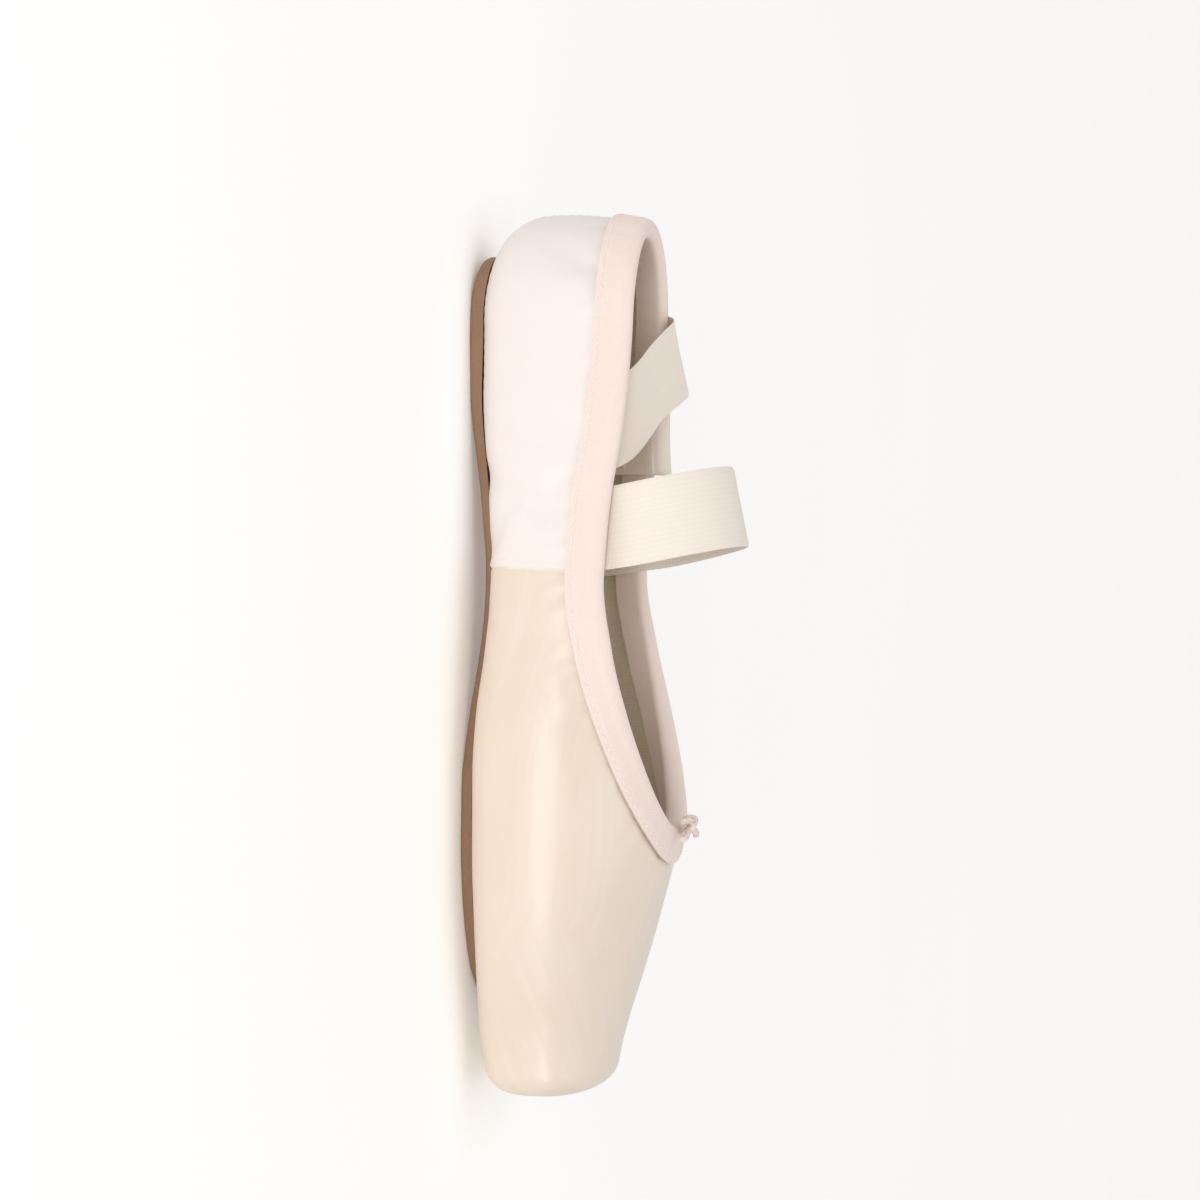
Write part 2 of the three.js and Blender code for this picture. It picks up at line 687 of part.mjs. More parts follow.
// A flat band along a route, twisted as its rows say.
function buildBand(rows, band) {
  const shell = new Shell();
  const { halfWidth, halfThickness } = band;
  const corners = [
    [-1, -1],
    [1, -1],
    [1, 1],
    [-1, 1],
  ];
  const rings = routeFrames(rows, band).map(({ p, across, face }) =>
    corners.map(([u, v]) =>
      p.clone().addScaledVector(across, u * halfWidth).addScaledVector(face, v * halfThickness),
    ),
  );
  // Both faces are split along the same diagonal, so that a twist never brings them together.
  rings.slice(1).forEach((to, i) => {
    const from = rings[i];
    shell.quad(from[0], from[1], to[1], to[0]);
    shell.quad(from[1], from[2], to[2], to[1]);
    shell.quad(from[3], to[3], to[2], from[2]);
    shell.quad(from[3], from[0], to[0], to[3]);
  });
  shell.lid(rings.at(-1));
  shell.lid(rings[0].slice().reverse());
  return shell.geometry();
}

// A closed mesh as a solid for joining, and a solid back as a mesh.
function toSolid(geometry) {
  const bare = geometry.clone();
  bare.deleteAttribute("normal");
  bare.deleteAttribute("uv");
  const merged = mergeVertices(bare, 1e-3);
  return new wasm.Manifold(
    new wasm.Mesh({
      numProp: 3,
      vertProperties: merged.getAttribute("position").array,
      triVerts: new Uint32Array(merged.getIndex().array),
    }),
  );
}

function fromSolid(solid) {
  const { vertProperties, triVerts } = solid.getMesh();
  const made = new THREE.BufferGeometry();
  made.setAttribute("position", new THREE.BufferAttribute(vertProperties, 3));
  made.setIndex(new THREE.BufferAttribute(triVerts, 1));
  return made;
}

// The drawstring's visible part: two strands lying on the binding and a flattened knot over their ends.
function buildKnot() {
  const top = lastAt("crest", THROAT - KNOT.behind) + CURVED_GAP + BINDING_THICKNESS;
  const ball = new THREE.SphereGeometry(1, 14, 10);
  ball.scale(KNOT.length / 2, KNOT.width / 2, KNOT.height / 2);
  ball.translate(THROAT - KNOT.behind - LENGTH / 2, 0, top + GAP + KNOT.height / 2);
  const round = new THREE.Shape();
  round.absarc(0, 0, DRAWSTRING_RADIUS, 0, 2 * Math.PI);
  const strand = (side) => {
    const route = DRAWSTRING.map(({ x, y, above }) => new THREE.Vector3(x, side * y, top + above));
    const extrudePath = new THREE.CatmullRomCurve3(route);
    return new THREE.ExtrudeGeometry(round, { extrudePath, steps: 6, curveSegments: 4 });
  };
  const joined = [1, -1].reduce((made, side) => made.add(toSolid(strand(side))), toSolid(ball));
  return fromSolid(joined);
}

// Reverses every face of a surface whose rows run the other way round.
function faceOutwards(geometry) {
  const position = geometry.getAttribute("position");
  const index = geometry.getIndex();
  const corner = (i) => new THREE.Vector3().fromBufferAttribute(position, index.getX(i));
  let volume = 0;
  for (let i = 0; i < index.count; i += 3) {
    volume += corner(i).dot(corner(i + 1).cross(corner(i + 2)));
  }
  if (volume < 0) {
    const swapped = index.array.slice();
    for (let i = 0; i < index.count; i += 3) {
      [swapped[i + 1], swapped[i + 2]] = [swapped[i + 2], swapped[i + 1]];
    }
    geometry.setIndex(new THREE.BufferAttribute(swapped, 1));
  }
  return geometry;
}

function piece(name, geometry, color, roughness) {
  const material = new THREE.MeshStandardMaterial({ color, roughness, metalness: 0 });
  const mesh = new THREE.Mesh(faceOutwards(geometry), material);
  mesh.name = name;
  return mesh;
}

const shoe = new THREE.Group();
shoe.name = "pointe_shoe";
shoe.add(piece("upper", buildUpper(), "#ecdcd0", 0.42));
shoe.add(piece("outsole", buildOutsole(), "#a98a70", 0.75));
shoe.add(piece("insole", buildInsole(), "#e6d9c6", 0.85));
shoe.add(piece("binding", buildBinding(), "#efdcd4", 0.7));
shoe.add(piece("drawstring_knot", buildKnot(), "#f0e2da", 0.8));
shoe.add(piece("elastic_strap", buildBand(ELASTIC_ROUTE, ELASTIC), "#ead9cf", 0.8));
shoe.add(piece("ribbon_left", buildBand(LEFT_RIBBON_ROUTE, RIBBON), "#eadccf", 0.45));
shoe.add(piece("ribbon_right", buildBand(RIGHT_RIBBON_ROUTE, RIBBON), "#eadccf", 0.45));

export default shoe;
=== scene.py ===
"""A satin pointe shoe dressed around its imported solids: cloth, leather, tape, cord, elastic and ribbons.

Lengths inside the classes are millimetres in the solids' own frame: +X to the toe, +Y to the shoe's left,
+Z up and the floor at 0. A mesh is turned to metres when it is made. "Station" is the distance from the
heel's back.
"""
import logging
import math
from collections.abc import Callable, Sequence
from dataclasses import dataclass
from enum import Enum
from typing import ClassVar

import bpy
import bmesh
import numpy as np
from mathutils import Matrix, Vector


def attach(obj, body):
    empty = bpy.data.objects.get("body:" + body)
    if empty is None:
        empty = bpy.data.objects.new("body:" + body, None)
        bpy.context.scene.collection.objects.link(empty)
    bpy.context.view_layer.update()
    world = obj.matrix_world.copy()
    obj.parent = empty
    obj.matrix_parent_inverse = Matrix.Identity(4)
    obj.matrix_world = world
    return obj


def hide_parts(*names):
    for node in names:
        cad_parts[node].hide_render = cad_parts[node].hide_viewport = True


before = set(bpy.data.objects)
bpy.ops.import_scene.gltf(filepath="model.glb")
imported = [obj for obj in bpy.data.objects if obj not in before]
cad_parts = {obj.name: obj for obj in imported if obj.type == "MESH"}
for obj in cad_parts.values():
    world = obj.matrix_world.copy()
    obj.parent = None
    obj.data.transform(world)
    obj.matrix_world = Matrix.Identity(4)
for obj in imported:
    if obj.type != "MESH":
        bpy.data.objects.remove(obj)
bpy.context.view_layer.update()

Points = np.ndarray
Colour = tuple[float, float, float, float]
LOG = logging.getLogger("pointe_shoe")
MM = 0.001
BODY = "root"
CLOTH_MAP = "cloth"
PANEL = "panel"
OUT = "out"
TINY = 1e-12
QUARTER_TURN = math.pi / 2
WELD = 2e-4
LID_SHARES = (0.0, 0.35, 0.7, 1.0)


# ---------------------------------------------------------------- numbers and curves


def unit(vectors: Points) -> Points:
    """Vectors scaled to length one."""
    return vectors / np.maximum(np.linalg.norm(vectors, axis=-1, keepdims=True), TINY)


def ease(low: float, high: float, value: Points) -> Points:
    """Smooth step from 0 at low to 1 at high."""
    share = np.clip((np.asarray(value, float) - low) / (high - low), 0, 1)
    return share * share * (3 - 2 * share)


def mirrored(points: Points) -> Points:
    """Points or directions of the left side carried to the right side."""
    return points * np.array([1.0, -1.0, 1.0])


def ripple(along: Points, waves: Sequence[tuple[float, float, float]]) -> Points:
    """Sum of sine waves.

    Args:
        along: distances in millimetres.
        waves: height, wavelength and shift of each wave.

    Returns:
        The summed height at each distance.
    """
    return sum(height * np.sin(math.tau * (along / length + shift)) for height, length, shift in waves)


def joined(*parts: Points) -> Points:
    """Coordinates spread over one grid and joined as the last axis."""
    return np.stack(np.broadcast_arrays(*parts), axis=-1)


def bell(value: Points, at: float, width: float) -> Points:
    """Rounded hump that is 1 at a place and falls off over a width to either side."""
    return np.exp(-(((value - at) / width) ** 2))


@dataclass(frozen=True)
class Swell:
    """A rounded ridge along a line, or a groove where its height is negative."""

    at: float
    width: float
    height: float

    def over(self, distance: Points) -> Points:
        """Height at a distance from the line."""
        return bell(distance, self.at, self.width) * self.height


@dataclass(frozen=True)
class Table:
    """Rows of named columns, read at any place by a smooth curve that never overshoots its rows."""

    columns: tuple[str, ...]
    rows: tuple[tuple[float, ...], ...]

    def at(self, column: str, place: Points) -> Points:
        """Reads one column.

        Args:
            column: the column's name.
            place: places along the first column.

        Returns:
            The column's value at each place.
        """
        data = np.array(self.rows, float)
        keys, values = data[:, 0], data[:, self.columns.index(column)]
        run = np.diff(keys)
        slope = np.diff(values) / run
        middle = (slope[:-1] * run[1:] + slope[1:] * run[:-1]) / (run[1:] + run[:-1])
        least = np.minimum(np.minimum(abs(slope[:-1]), abs(slope[1:])), abs(middle) / 2)
        inner = (np.sign(slope[:-1]) + np.sign(slope[1:])) * least
        tangent = np.concatenate([slope[:1], inner, slope[-1:]])
        place = np.clip(np.asarray(place, float), keys[0], keys[-1])
        i = np.clip(np.searchsorted(keys, place, side="right") - 1, 0, len(run) - 1)
        d, width, rise = place - keys[i], run[i], slope[i]
        cubic = (tangent[i] + tangent[i + 1] - 2 * rise) / width**2
        square = (3 * rise - 2 * tangent[i] - tangent[i + 1]) / width
        return ((cubic * d + square) * d + tangent[i]) * d + values[i]


class Spacing(Enum):
    """How the places of a stretch are spaced."""

    EVEN = "even"
    CLOSING = "closing"


@dataclass(frozen=True)
class Stretch:
    """A run of places along a shoe. CLOSING crowds them towards the end."""

    start: float
    end: float
    steps: int
    spacing: Spacing = Spacing.EVEN

    def places(self) -> Points:
        """The places of the stretch without its end."""
        share = np.arange(self.steps) / self.steps
        if self.spacing is Spacing.CLOSING:
            share = np.sin(QUARTER_TURN * share)
        return self.start + (self.end - self.start) * share


def places_of(stretches: Sequence[Stretch]) -> Points:
    """Places of stretches that follow each other, with the last one's end."""
    return np.concatenate([s.places() for s in stretches] + [[stretches[-1].end]])


class Line:
    """A line of points with distances along it, which finds its nearest place to other points."""

    def __init__(self, points: Points) -> None:
        """Keeps the points and measures the line."""
        self.points = points
        self.runs = np.linalg.norm(np.diff(points, axis=0), axis=1)
        self.along = np.concatenate([[0.0], np.cumsum(self.runs)])

    def nearest(self, points: Points) -> tuple[Points, Points]:
        """Finds the nearest place of the line to each point.

        Args:
            points: an array of points of the line's own dimension.

        Returns:
            The distance to the line, and the distance along it of the nearest place.
        """
        flat = points.reshape(-1, points.shape[-1])
        best = np.full(len(flat), np.inf)
        place = np.zeros(len(flat))
        for a, b, run, start in zip(self.points[:-1], self.points[1:], self.runs, self.along):
            share = np.clip((flat - a) @ (b - a) / max(run * run, TINY), 0, 1)
            gap = np.linalg.norm(flat - a - share[:, None] * (b - a), axis=1)
            closer = gap < best
            best[closer] = gap[closer]
            place[closer] = start + share[closer] * run
        return best.reshape(points.shape[:-1]), place.reshape(points.shape[:-1])


# ---------------------------------------------------------------- the last


@dataclass(frozen=True)
class Last:
    """The form that the shoe is made on, as polar sections that turn about the heel's centre at the back."""

    length: float = 238.0
    edge_radius: float = 6.0
    heel_centre: float = 30.0
    heel_reach: float = 30.0
    throat: float = 168.0
    opening_front: float = 192.0
    opening_angle: float = math.radians(30)
    opening_rounding: float = 26.0
    square_above: float = 2.3
    probe: float = 0.05
    settle_rounds: int = 6
    halvings: int = 40
    underside_limit: float = 0.98
    slope_reach: float = 0.2
    form: Table = Table(
        ("station", "half", "under", "wide", "crest", "square", "wall"),
        (
            (0, 27.4, 2.5, 22, 70, 2.5, 1.8),
            (30, 27.4, 2.5, 22, 70, 2.5, 1.8),
            (48, 28.2, 2.5, 21.4, 69.5, 2.6, 1.7),
            (76, 29.4, 4.8, 20.5, 67, 2.8, 1.6),
            (98, 31.4, 6, 21, 64, 3, 1.6),
            (116, 35, 5.2, 20.5, 60.5, 3.1, 1.7),
            (136, 39.6, 3.3, 19.5, 56.5, 3.2, 2),
            (154, 41.7, 2.5, 19, 54.8, 3.2, 2.3),
            (171, 42, 2.5, 19, 53.4, 3.2, 2.6),
            (190, 39.6, 2.5, 19, 48.8, 3.2, 3),
            (208, 34.2, 2.5, 19, 43.6, 3.2, 3.4),
            (219, 30.2, 2.3, 19.2, 40.2, 3.2, 3.8),
            (228, 27.8, 3, 20, 37.8, 3.2, 4.2),
            (238, 26.8, 5.4, 21, 36, 3.2, 5),
        ),
    )
    collar: Table = Table(
        ("behind", "drop"),
        (
            (0, 0),
            (16, 5.4),
            (32, 11.2),
            (50, 19),
            (70, 25.5),
            (90, 26.8),
            (108, 25.8),
            (138, 24.6),
            (168, 23.6),
        ),
    )

    def section(self, station: Points) -> tuple[Points, Points, Points, Points, Points]:
        """Half width, height of the widest line, the reach below and above it, and the squareness below."""
        into = np.maximum(0, station - (self.length - self.edge_radius))
        trim = self.edge_radius - np.sqrt(np.maximum(0, self.edge_radius**2 - into**2))
        wide = self.form.at("wide", station)
        below = wide - self.form.at("under", station) - trim
        above = self.form.at("crest", station) - trim - wide
        return self.form.at("half", station) - trim, wide, below, above, self.form.at("square", station)

    def point(self, station: Points, turn: Points, angle: Points) -> Points:
        """Point of the surface.

        Args:
            station: distance from the heel's back, or the heel's centre for turned sections.
            turn: turn of the section in radians, a quarter turn where it is straight across.
            angle: angle up the side from straight down.

        Returns:
            Points of the left side, in millimetres.
        """
        half, wide, below, above, square = self.section(station)
        side, up = np.sin(angle), -np.cos(angle)
        low = up < 0
        power = np.where(low, square, self.square_above)
        height = np.where(low, below, above)
        reach = ((np.abs(side) / half) ** power + (np.abs(up) / height) ** power) ** (-1 / power)
        across = side * reach
        x = station - across * (self.heel_reach / half) * np.cos(turn) - self.length / 2
        return joined(x, across * np.sin(turn), wide + up * reach)

    def measure(self, points: Points) -> Points:
        """1 on the surface, less inside and more outside."""
        station = points[..., 0] + self.length / 2
        half, wide, below, above, square = self.section(np.maximum(station, self.heel_centre))
        behind = np.maximum(0, self.heel_centre - station) * half / self.heel_reach
        across = np.hypot(points[..., 1], behind) / half
        low = points[..., 2] < wide
        up = np.abs(points[..., 2] - wide) / np.where(low, below, above)
        power = np.where(low, square, self.square_above)
        return (across**power + up**power) ** (1 / power)

    def outward(self, points: Points) -> Points:
        """Direction out of the surface near each point."""
        steps = np.eye(3) * self.probe
        return unit(np.stack([self.measure(points + s) - self.measure(points - s) for s in steps], axis=-1))

    def settle(self, points: Points) -> Points:
        """Moves points straight in or out until they lie on the surface."""
        settled = points.copy()
        for _ in range(self.settle_rounds):
            way = self.outward(settled)
            value = self.measure(settled)
            slope = (self.measure(settled + way * self.probe) - value) / self.probe
            settled = settled + way * ((1 - value) / slope)[..., None]
        return settled

    def wall(self, x: Points) -> Points:
        """Thickness of the upper's wall at a place along the shoe."""
        return self.form.at("wall", x + self.length / 2)

    def collar_angle(self, station: Points, turn: Points) -> Points:
        """Angle up the section at which the collar's edge lies."""
        place = np.minimum(station - self.heel_reach * np.cos(turn), self.throat)
        height = self.form.at("crest", place) - self.collar.at("drop", self.throat - place)
        low, high = np.full_like(station, QUARTER_TURN), np.full_like(station, math.pi)
        for _ in range(self.halvings):
            middle = (low + high) / 2
            under = self.point(station, turn, middle)[..., 2] < height
            low, high = np.where(under, middle, low), np.where(under, high, middle)
        return np.where(station >= self.throat, math.pi, (low + high) / 2)

    def margin_angle(self, station: Points) -> Points:
        """Angle at which the lasting margin begins, which is straight down in front of the sole's opening."""
        behind = np.clip((self.opening_front - station) / self.opening_rounding, 0, 1)
        return self.opening_angle * np.sqrt(1 - (1 - behind) ** 2)

    def underside(self, station: Points, y: Points) -> Points:
        """Height of the underside at a place on the sole."""
        half, wide, below, _, square = self.section(np.maximum(station, self.heel_centre))
        behind = np.maximum(0, self.heel_centre - station) * half / self.heel_reach
        across = np.minimum(self.underside_limit, np.hypot(y, behind) / half)
        return wide - below * (1 - across**square) ** (1 / square)

    def footbed(self, station: Points, y: Points) -> Points:
        """Height of the wall's inner surface at a place on the sole."""
        h = self.slope_reach
        slope_y = (self.underside(station, y + h) - self.underside(station, y - h)) / (2 * h)
        slope_x = (self.underside(station + h, y) - self.underside(station - h, y)) / (2 * h)
        wall = self.form.at("wall", station)
        return self.underside(station, y) + wall * np.sqrt(1 + slope_x**2 + slope_y**2)


@dataclass(frozen=True)
class CollarEdge:
    """The collar's edge on the left side, from the throat's front to the heel's back, with its directions."""

    points: Points
    out: Points
    down: Points
    wall: Points
    along: Points

    CROWDING: ClassVar[float] = 1.35
    CROWDED_SHARE: ClassVar[float] = 0.75
    EVEN_FROM: ClassVar[float] = 0.35
    EVEN_TO: ClassVar[float] = 0.9

    @classmethod
    def of(cls, last: Last, straight_steps: int = 150, heel_steps: int = 44) -> "CollarEdge":
        """Traces the edge.

        Args:
            last: the shoe's last.
            straight_steps: places from the throat to the heel's centre.
            heel_steps: places round the heel.

        Returns:
            The edge with its outward and downward directions and the wall's thickness.
        """
        share = np.linspace(0, 1, straight_steps + 1)
        crowded = 1 - np.cos(QUARTER_TURN * np.minimum(1, share * cls.CROWDING))
        blend = ease(cls.EVEN_FROM, cls.EVEN_TO, share)
        back = crowded * cls.CROWDED_SHARE * (1 - blend) + share * blend
        station = last.throat - (last.throat - last.heel_centre) * back
        turned = QUARTER_TURN * (1 - np.arange(1, heel_steps + 1) / heel_steps)
        station = np.concatenate([station, np.full(heel_steps, last.heel_centre)])
        turn = np.concatenate([np.full(straight_steps + 1, QUARTER_TURN), turned])
        points = last.point(station, turn, last.collar_angle(station, turn))
        points[[0, -1], 1] = 0
        before = np.concatenate([mirrored(points[1:2]), points[:-1]])
        after = np.concatenate([points[1:], mirrored(points[-2:-1])])
        out = last.outward(points)
        down = unit(np.cross(unit(after - before), out))
        return cls(points, out, down, last.wall(points[:, 0]), Line(points).along)


# ---------------------------------------------------------------- meshes


class Skin:
    """Collects grids of points, in millimetres, into one mesh that shares the points at one place."""

    def __init__(self) -> None:
        """Starts with nothing."""
        self.points: list[Points] = []
        self.maps: list[Points] = []
        self.quads: list[Points] = []
        self.slots: list[Points] = []
        self.count = 0

    def grid(self, points: Points, cloth: Points | None = None, slot: int = 0, closed: bool = False) -> None:
        """Adds faces between neighbouring rows.

        Args:
            points: rows of points.
            cloth: the place of each point on the flat cloth, in millimetres.
            slot: the material's place on the piece.
            closed: whether each row's last point joins its first.
        """
        rows, columns = points.shape[:2]
        cloth = points[..., :2] if cloth is None else cloth
        if closed:
            points = np.concatenate([points, points[:, :1]], axis=1)
            wrapped = cloth[:, :1] if cloth.shape[1] == columns else cloth[:, :0]
            cloth = np.concatenate([cloth, wrapped], axis=1)
            columns += 1
        i, j = np.meshgrid(np.arange(rows - 1), np.arange(columns - 1), indexing="ij")
        start = self.count + i * columns + j
        quads = np.stack([start, start + 1, start + columns + 1, start + columns], -1)
        self.quads.append(quads.reshape(-1, 4))
        self.slots.append(np.full((rows - 1) * (columns - 1), slot))
        self.points.append(points.reshape(-1, 3))
        self.maps.append(cloth.reshape(-1, 2))
        self.count += rows * columns

    def lid(self, ring: Points, slot: int = 0, cloth: Callable[[Points], Points] | None = None) -> None:
        """Closes a ring with faces that shrink to its middle.

        Args:
            ring: the ring's points.
            slot: the material's place on the piece.
            cloth: gives the place on the flat cloth of any point.
        """
        shares = np.array(LID_SHARES)[:, None, None]
        rows = ring[None] * (1 - shares) + ring.mean(axis=0) * shares
        self.grid(rows, rows[..., 1:] if cloth is None else cloth(rows), slot, closed=True)

    def build(self, name: str, materials: Sequence[bpy.types.Material], sharp: float) -> bpy.types.Object:
        """Makes the object, with its faces turned outwards.

        Args:
            name: the piece's name.
            materials: its materials in the order of the slots.
            sharp: edges sharper than this many degrees are shaded sharp.

        Returns:
            The finished object at the origin, in metres.
        """
        points = np.concatenate(self.points)
        keys = np.round(points / WELD).astype(np.int64)
        _, first, inverse = np.unique(keys, axis=0, return_index=True, return_inverse=True)
        inverse = inverse.reshape(-1)
        faces: list[list[int]] = []
        corners: list[int] = []
        slots: list[int] = []
        shared = inverse[np.concatenate(self.quads)]
        for quad, merged, slot in zip(np.concatenate(self.quads), shared, np.concatenate(self.slots)):
            kept = [k for k in range(4) if merged[k] != merged[k - 1]]
            if len({merged[k] for k in kept}) == len(kept) and len(kept) > 2:
                faces.append([int(merged[k]) for k in kept])
                corners.extend(int(quad[k]) for k in kept)
                slots.append(int(slot))
        mesh = bpy.data.meshes.new(name)
        mesh.from_pydata(points[first] * MM, [], faces)
        layer = mesh.uv_layers.new(name=CLOTH_MAP)
        layer.data.foreach_set("uv", (np.concatenate(self.maps)[corners] * MM).astype(np.float32).ravel())
        mesh.polygons.foreach_set("material_index", np.array(slots, np.int32))
        self._turn_out(mesh)
        return finished(name, mesh, materials, sharp)

    @staticmethod
    def _turn_out(mesh: bpy.types.Mesh) -> None:
        """Points the faces of a closed mesh outwards."""
        work = bmesh.new()
        work.from_mesh(mesh)
        bmesh.ops.recalc_face_normals(work, faces=work.faces)
        if work.calc_volume(signed=True) < 0:
            bmesh.ops.reverse_faces(work, faces=work.faces)
        work.to_mesh(mesh)
        work.free()


def placed(name: str, data: bpy.types.ID) -> bpy.types.Object:
    """Puts a new object in the scene."""
    made = bpy.data.objects.new(name, data)
    bpy.context.scene.collection.objects.link(made)
    return made


def finished(
    name: str, mesh: bpy.types.Mesh, materials: Sequence[bpy.types.Material], sharp: float
) -> bpy.types.Object:
    """Puts a mesh in the scene as a smooth object with its materials."""
    mesh.validate(clean_customdata=False)
    for material in materials:
        mesh.materials.append(material)
    made = placed(name, mesh)
    mesh.shade_smooth()
    mesh.set_sharp_from_angle(angle=math.radians(sharp))
    return made


def set_attribute(piece: bpy.types.Object, name: str, value: Callable[[Points], Points]) -> None:
    """Writes a number on each point of a piece.

    Args:
        piece: the piece.
        name: the attribute's name.
        value: gives the number from points in millimetres.
    """
    flat = np.zeros(len(piece.data.vertices) * 3, np.float32)
    piece.data.vertices.foreach_get("co", flat)
    attribute = piece.data.attributes.new(name, "FLOAT", "POINT")
    attribute.data.foreach_set("value", value(flat.reshape(-1, 3) / MM).astype(np.float32))


def dress(piece: bpy.types.Object, slot: str, *nodes: str) -> bpy.types.Object:
    """Hangs a piece on the shoe.

    Args:
        piece: the finished piece.
        slot: the record's material slot of its finish; not used.
        nodes: the solids that it stands for.

    Returns:
        The same piece.
    """
    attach(piece, BODY)
    if nodes:
        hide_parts(*nodes)
    LOG.info("%s: %d faces", piece.name, len(piece.data.polygons))
    return piece


def transported(points: Points, first: Points) -> tuple[Points, Points]:
    """Directions carried along a line without twisting.

    Args:
        points: the line.
        first: direction across the line at its start.

    Returns:
        The way of the line and the carried direction at each point.
    """
    way = unit(np.gradient(points, axis=0))
    across, carried = first, []
    for w in way:
        across = unit(across - w * (across @ w))
        carried.append(across)
    return way, np.array(carried)


# ---------------------------------------------------------------- finishes


def srgb(code: str) -> Colour:
    """Linear colour of a web colour such as #e8d6c8."""
    parts = [int(code[k : k + 2], 16) / 255 for k in (1, 3, 5)]
    red, green, blue = (p / 12.92 if p <= 0.04045 else ((p + 0.055) / 1.055) ** 2.4 for p in parts)
    return red, green, blue, 1.0


class Sock:
    """A node's socket that takes part in expressions of values."""

    def __init__(self, graph: "Graph", socket: bpy.types.NodeSocket) -> None:
        """Wraps a socket of a graph."""
        self.graph, self.socket = graph, socket

    def _math(self, operation: str, first: object, second: object) -> "Sock":
        """Result of a Math node."""
        return self.graph.node("ShaderNodeMath", {"operation": operation}, {0: first, 1: second})

    def __add__(self, other: object) -> "Sock":
        """Sum with a value or socket."""
        return self._math("ADD", self, other)

    def __mul__(self, other: object) -> "Sock":
        """Product with a value or socket."""
        return self._math("MULTIPLY", self, other)


class Graph:
    """A material's nodes, made from expressions."""

    def __init__(self, name: str) -> None:
        """Starts an empty material."""
        self.material = bpy.data.materials.new(name)
        self.material.use_nodes = True
        self.tree = self.material.node_tree
        self.tree.nodes.clear()

    def node(
        self, kind: str, settings: dict[str, object], inputs: dict[object, object], output: object = 0
    ) -> Sock:
        """Makes a node.

        Args:
            kind: the node's type.
            settings: its properties, set first; "stops" are a ramp's places and colours.
            inputs: values or sockets by socket name, identifier or number.
            output: name, identifier or number of the output to return.

        Returns:
            The output's socket.
        """
        made = self.tree.nodes.new(kind)
        for key, value in settings.items():
            if key == "stops":
                ramp = made.color_ramp.elements
                while len(ramp) < len(value):
                    ramp.new(0.5)
                for element, (place, colour) in zip(ramp, value):
                    element.position, element.color = place, colour
            else:
                setattr(made, key, value)
        for key, value in inputs.items():
            socket = self._find(made.inputs, key)
            if isinstance(value, Sock):
                self.tree.links.new(value.socket, socket)
            else:
                socket.default_value = value
        return Sock(self, self._find(made.outputs, output))

    @staticmethod
    def _find(sockets: bpy.types.bpy_prop_collection, key: object) -> bpy.types.NodeSocket:
        """Socket by number, identifier or name."""
        if isinstance(key, int):
            return sockets[key]
        return next(s for s in sockets if key in (s.identifier, s.name))

    def mix(self, first: object, second: object, share: object) -> Sock:
        """Blend of two colours."""
        inputs = {"Factor_Float": share, "A_Color": first, "B_Color": second}
        return self.node("ShaderNodeMix", {"data_type": "RGBA"}, inputs, "Result_Color")

    def cloth(self) -> Sock:
        """Place on the flat cloth, in metres."""
        return self.node("ShaderNodeUVMap", {"uv_map": CLOTH_MAP}, {})

    def place(self) -> Sock:
        """Place in the shoe's own frame, in metres."""
        return self.node("ShaderNodeTexCoord", {}, {}, "Object")

    def noise(self, vector: Sock, stretch: tuple[float, float, float], detail: float = 2.0) -> Sock:
        """Soft noise, with "stretch" waves a metre along each axis."""
        scaled = self.node("ShaderNodeVectorMath", {"operation": "MULTIPLY"}, {0: vector, 1: stretch})
        return self.node("ShaderNodeTexNoise", {}, {"Vector": scaled, "Scale": 1.0, "Detail": detail})

    def threads(self, vector: Sock, axis: int, pitch: float) -> Sock:
        """Waves from 0 to 1 of one axis of a vector, one each pitch in millimetres."""
        parts = self.node("ShaderNodeSeparateXYZ", {}, {0: vector}, axis)
        turned = parts * (math.tau / (pitch * MM))
        return self.node("ShaderNodeMath", {"operation": "SINE"}, {0: turned}) * 0.5 + 0.5

    def bump(self, height: Sock, depth: float, strength: float = 1.0) -> Sock:
        """Normal bent by a height from 0 to 1, "depth" millimetres deep."""
        inputs = {"Height": height, "Distance": depth * MM, "Strength": strength}
        return self.node("ShaderNodeBump", {}, inputs)

    def finish(self, inputs: dict[object, object]) -> bpy.types.Material:
        """Closes the material with a Principled shader of these inputs."""
        shader = self.node("ShaderNodeBsdfPrincipled", {}, inputs)
        target = self.tree.nodes.new("ShaderNodeOutputMaterial")
        self.tree.links.new(shader.socket, target.inputs["Surface"])
        return self.material


@dataclass(frozen=True)
class Satin:
    """Smooth satin whose threads run along the shoe, with its own colour for the forepart and the heel."""

    name: str
    base: str = "#efe2d5"
    shade: str = "#ddc8b0"
    heel: str = "#efe6e4"
    roughness: float = 0.36
    sheen: float = 0.1

    def material(self) -> bpy.types.Material:
        """The satin as a material."""
        g = Graph(self.name)
        cloth, place = g.cloth(), g.place()
        streaks = g.noise(cloth, (22.0, 420.0, 1.0), 1.0)
        clouds = g.noise(place, (26.0, 26.0, 26.0), 2.0)
        panel = g.node("ShaderNodeAttribute", {"attribute_name": PANEL}, {}, "Fac")
        forepart = g.mix(srgb(self.base), srgb(self.shade), streaks * 0.3 + clouds * 0.5)
        heel = g.mix(srgb(self.heel), srgb(self.base), streaks * 0.12 + clouds * 0.25)
        return g.finish(
            {
                "Base Color": g.mix(forepart, heel, panel),
                "Roughness": streaks * 0.04 + clouds * 0.08 + panel * 0.1 + (self.roughness - 0.06),
                "Normal": g.bump(streaks, 0.012, 0.4),
                "Anisotropic": 0.45,
                "Sheen Weight": self.sheen,
                "Sheen Roughness": 0.45,
                "Specular IOR Level": 0.8,
            }
        )


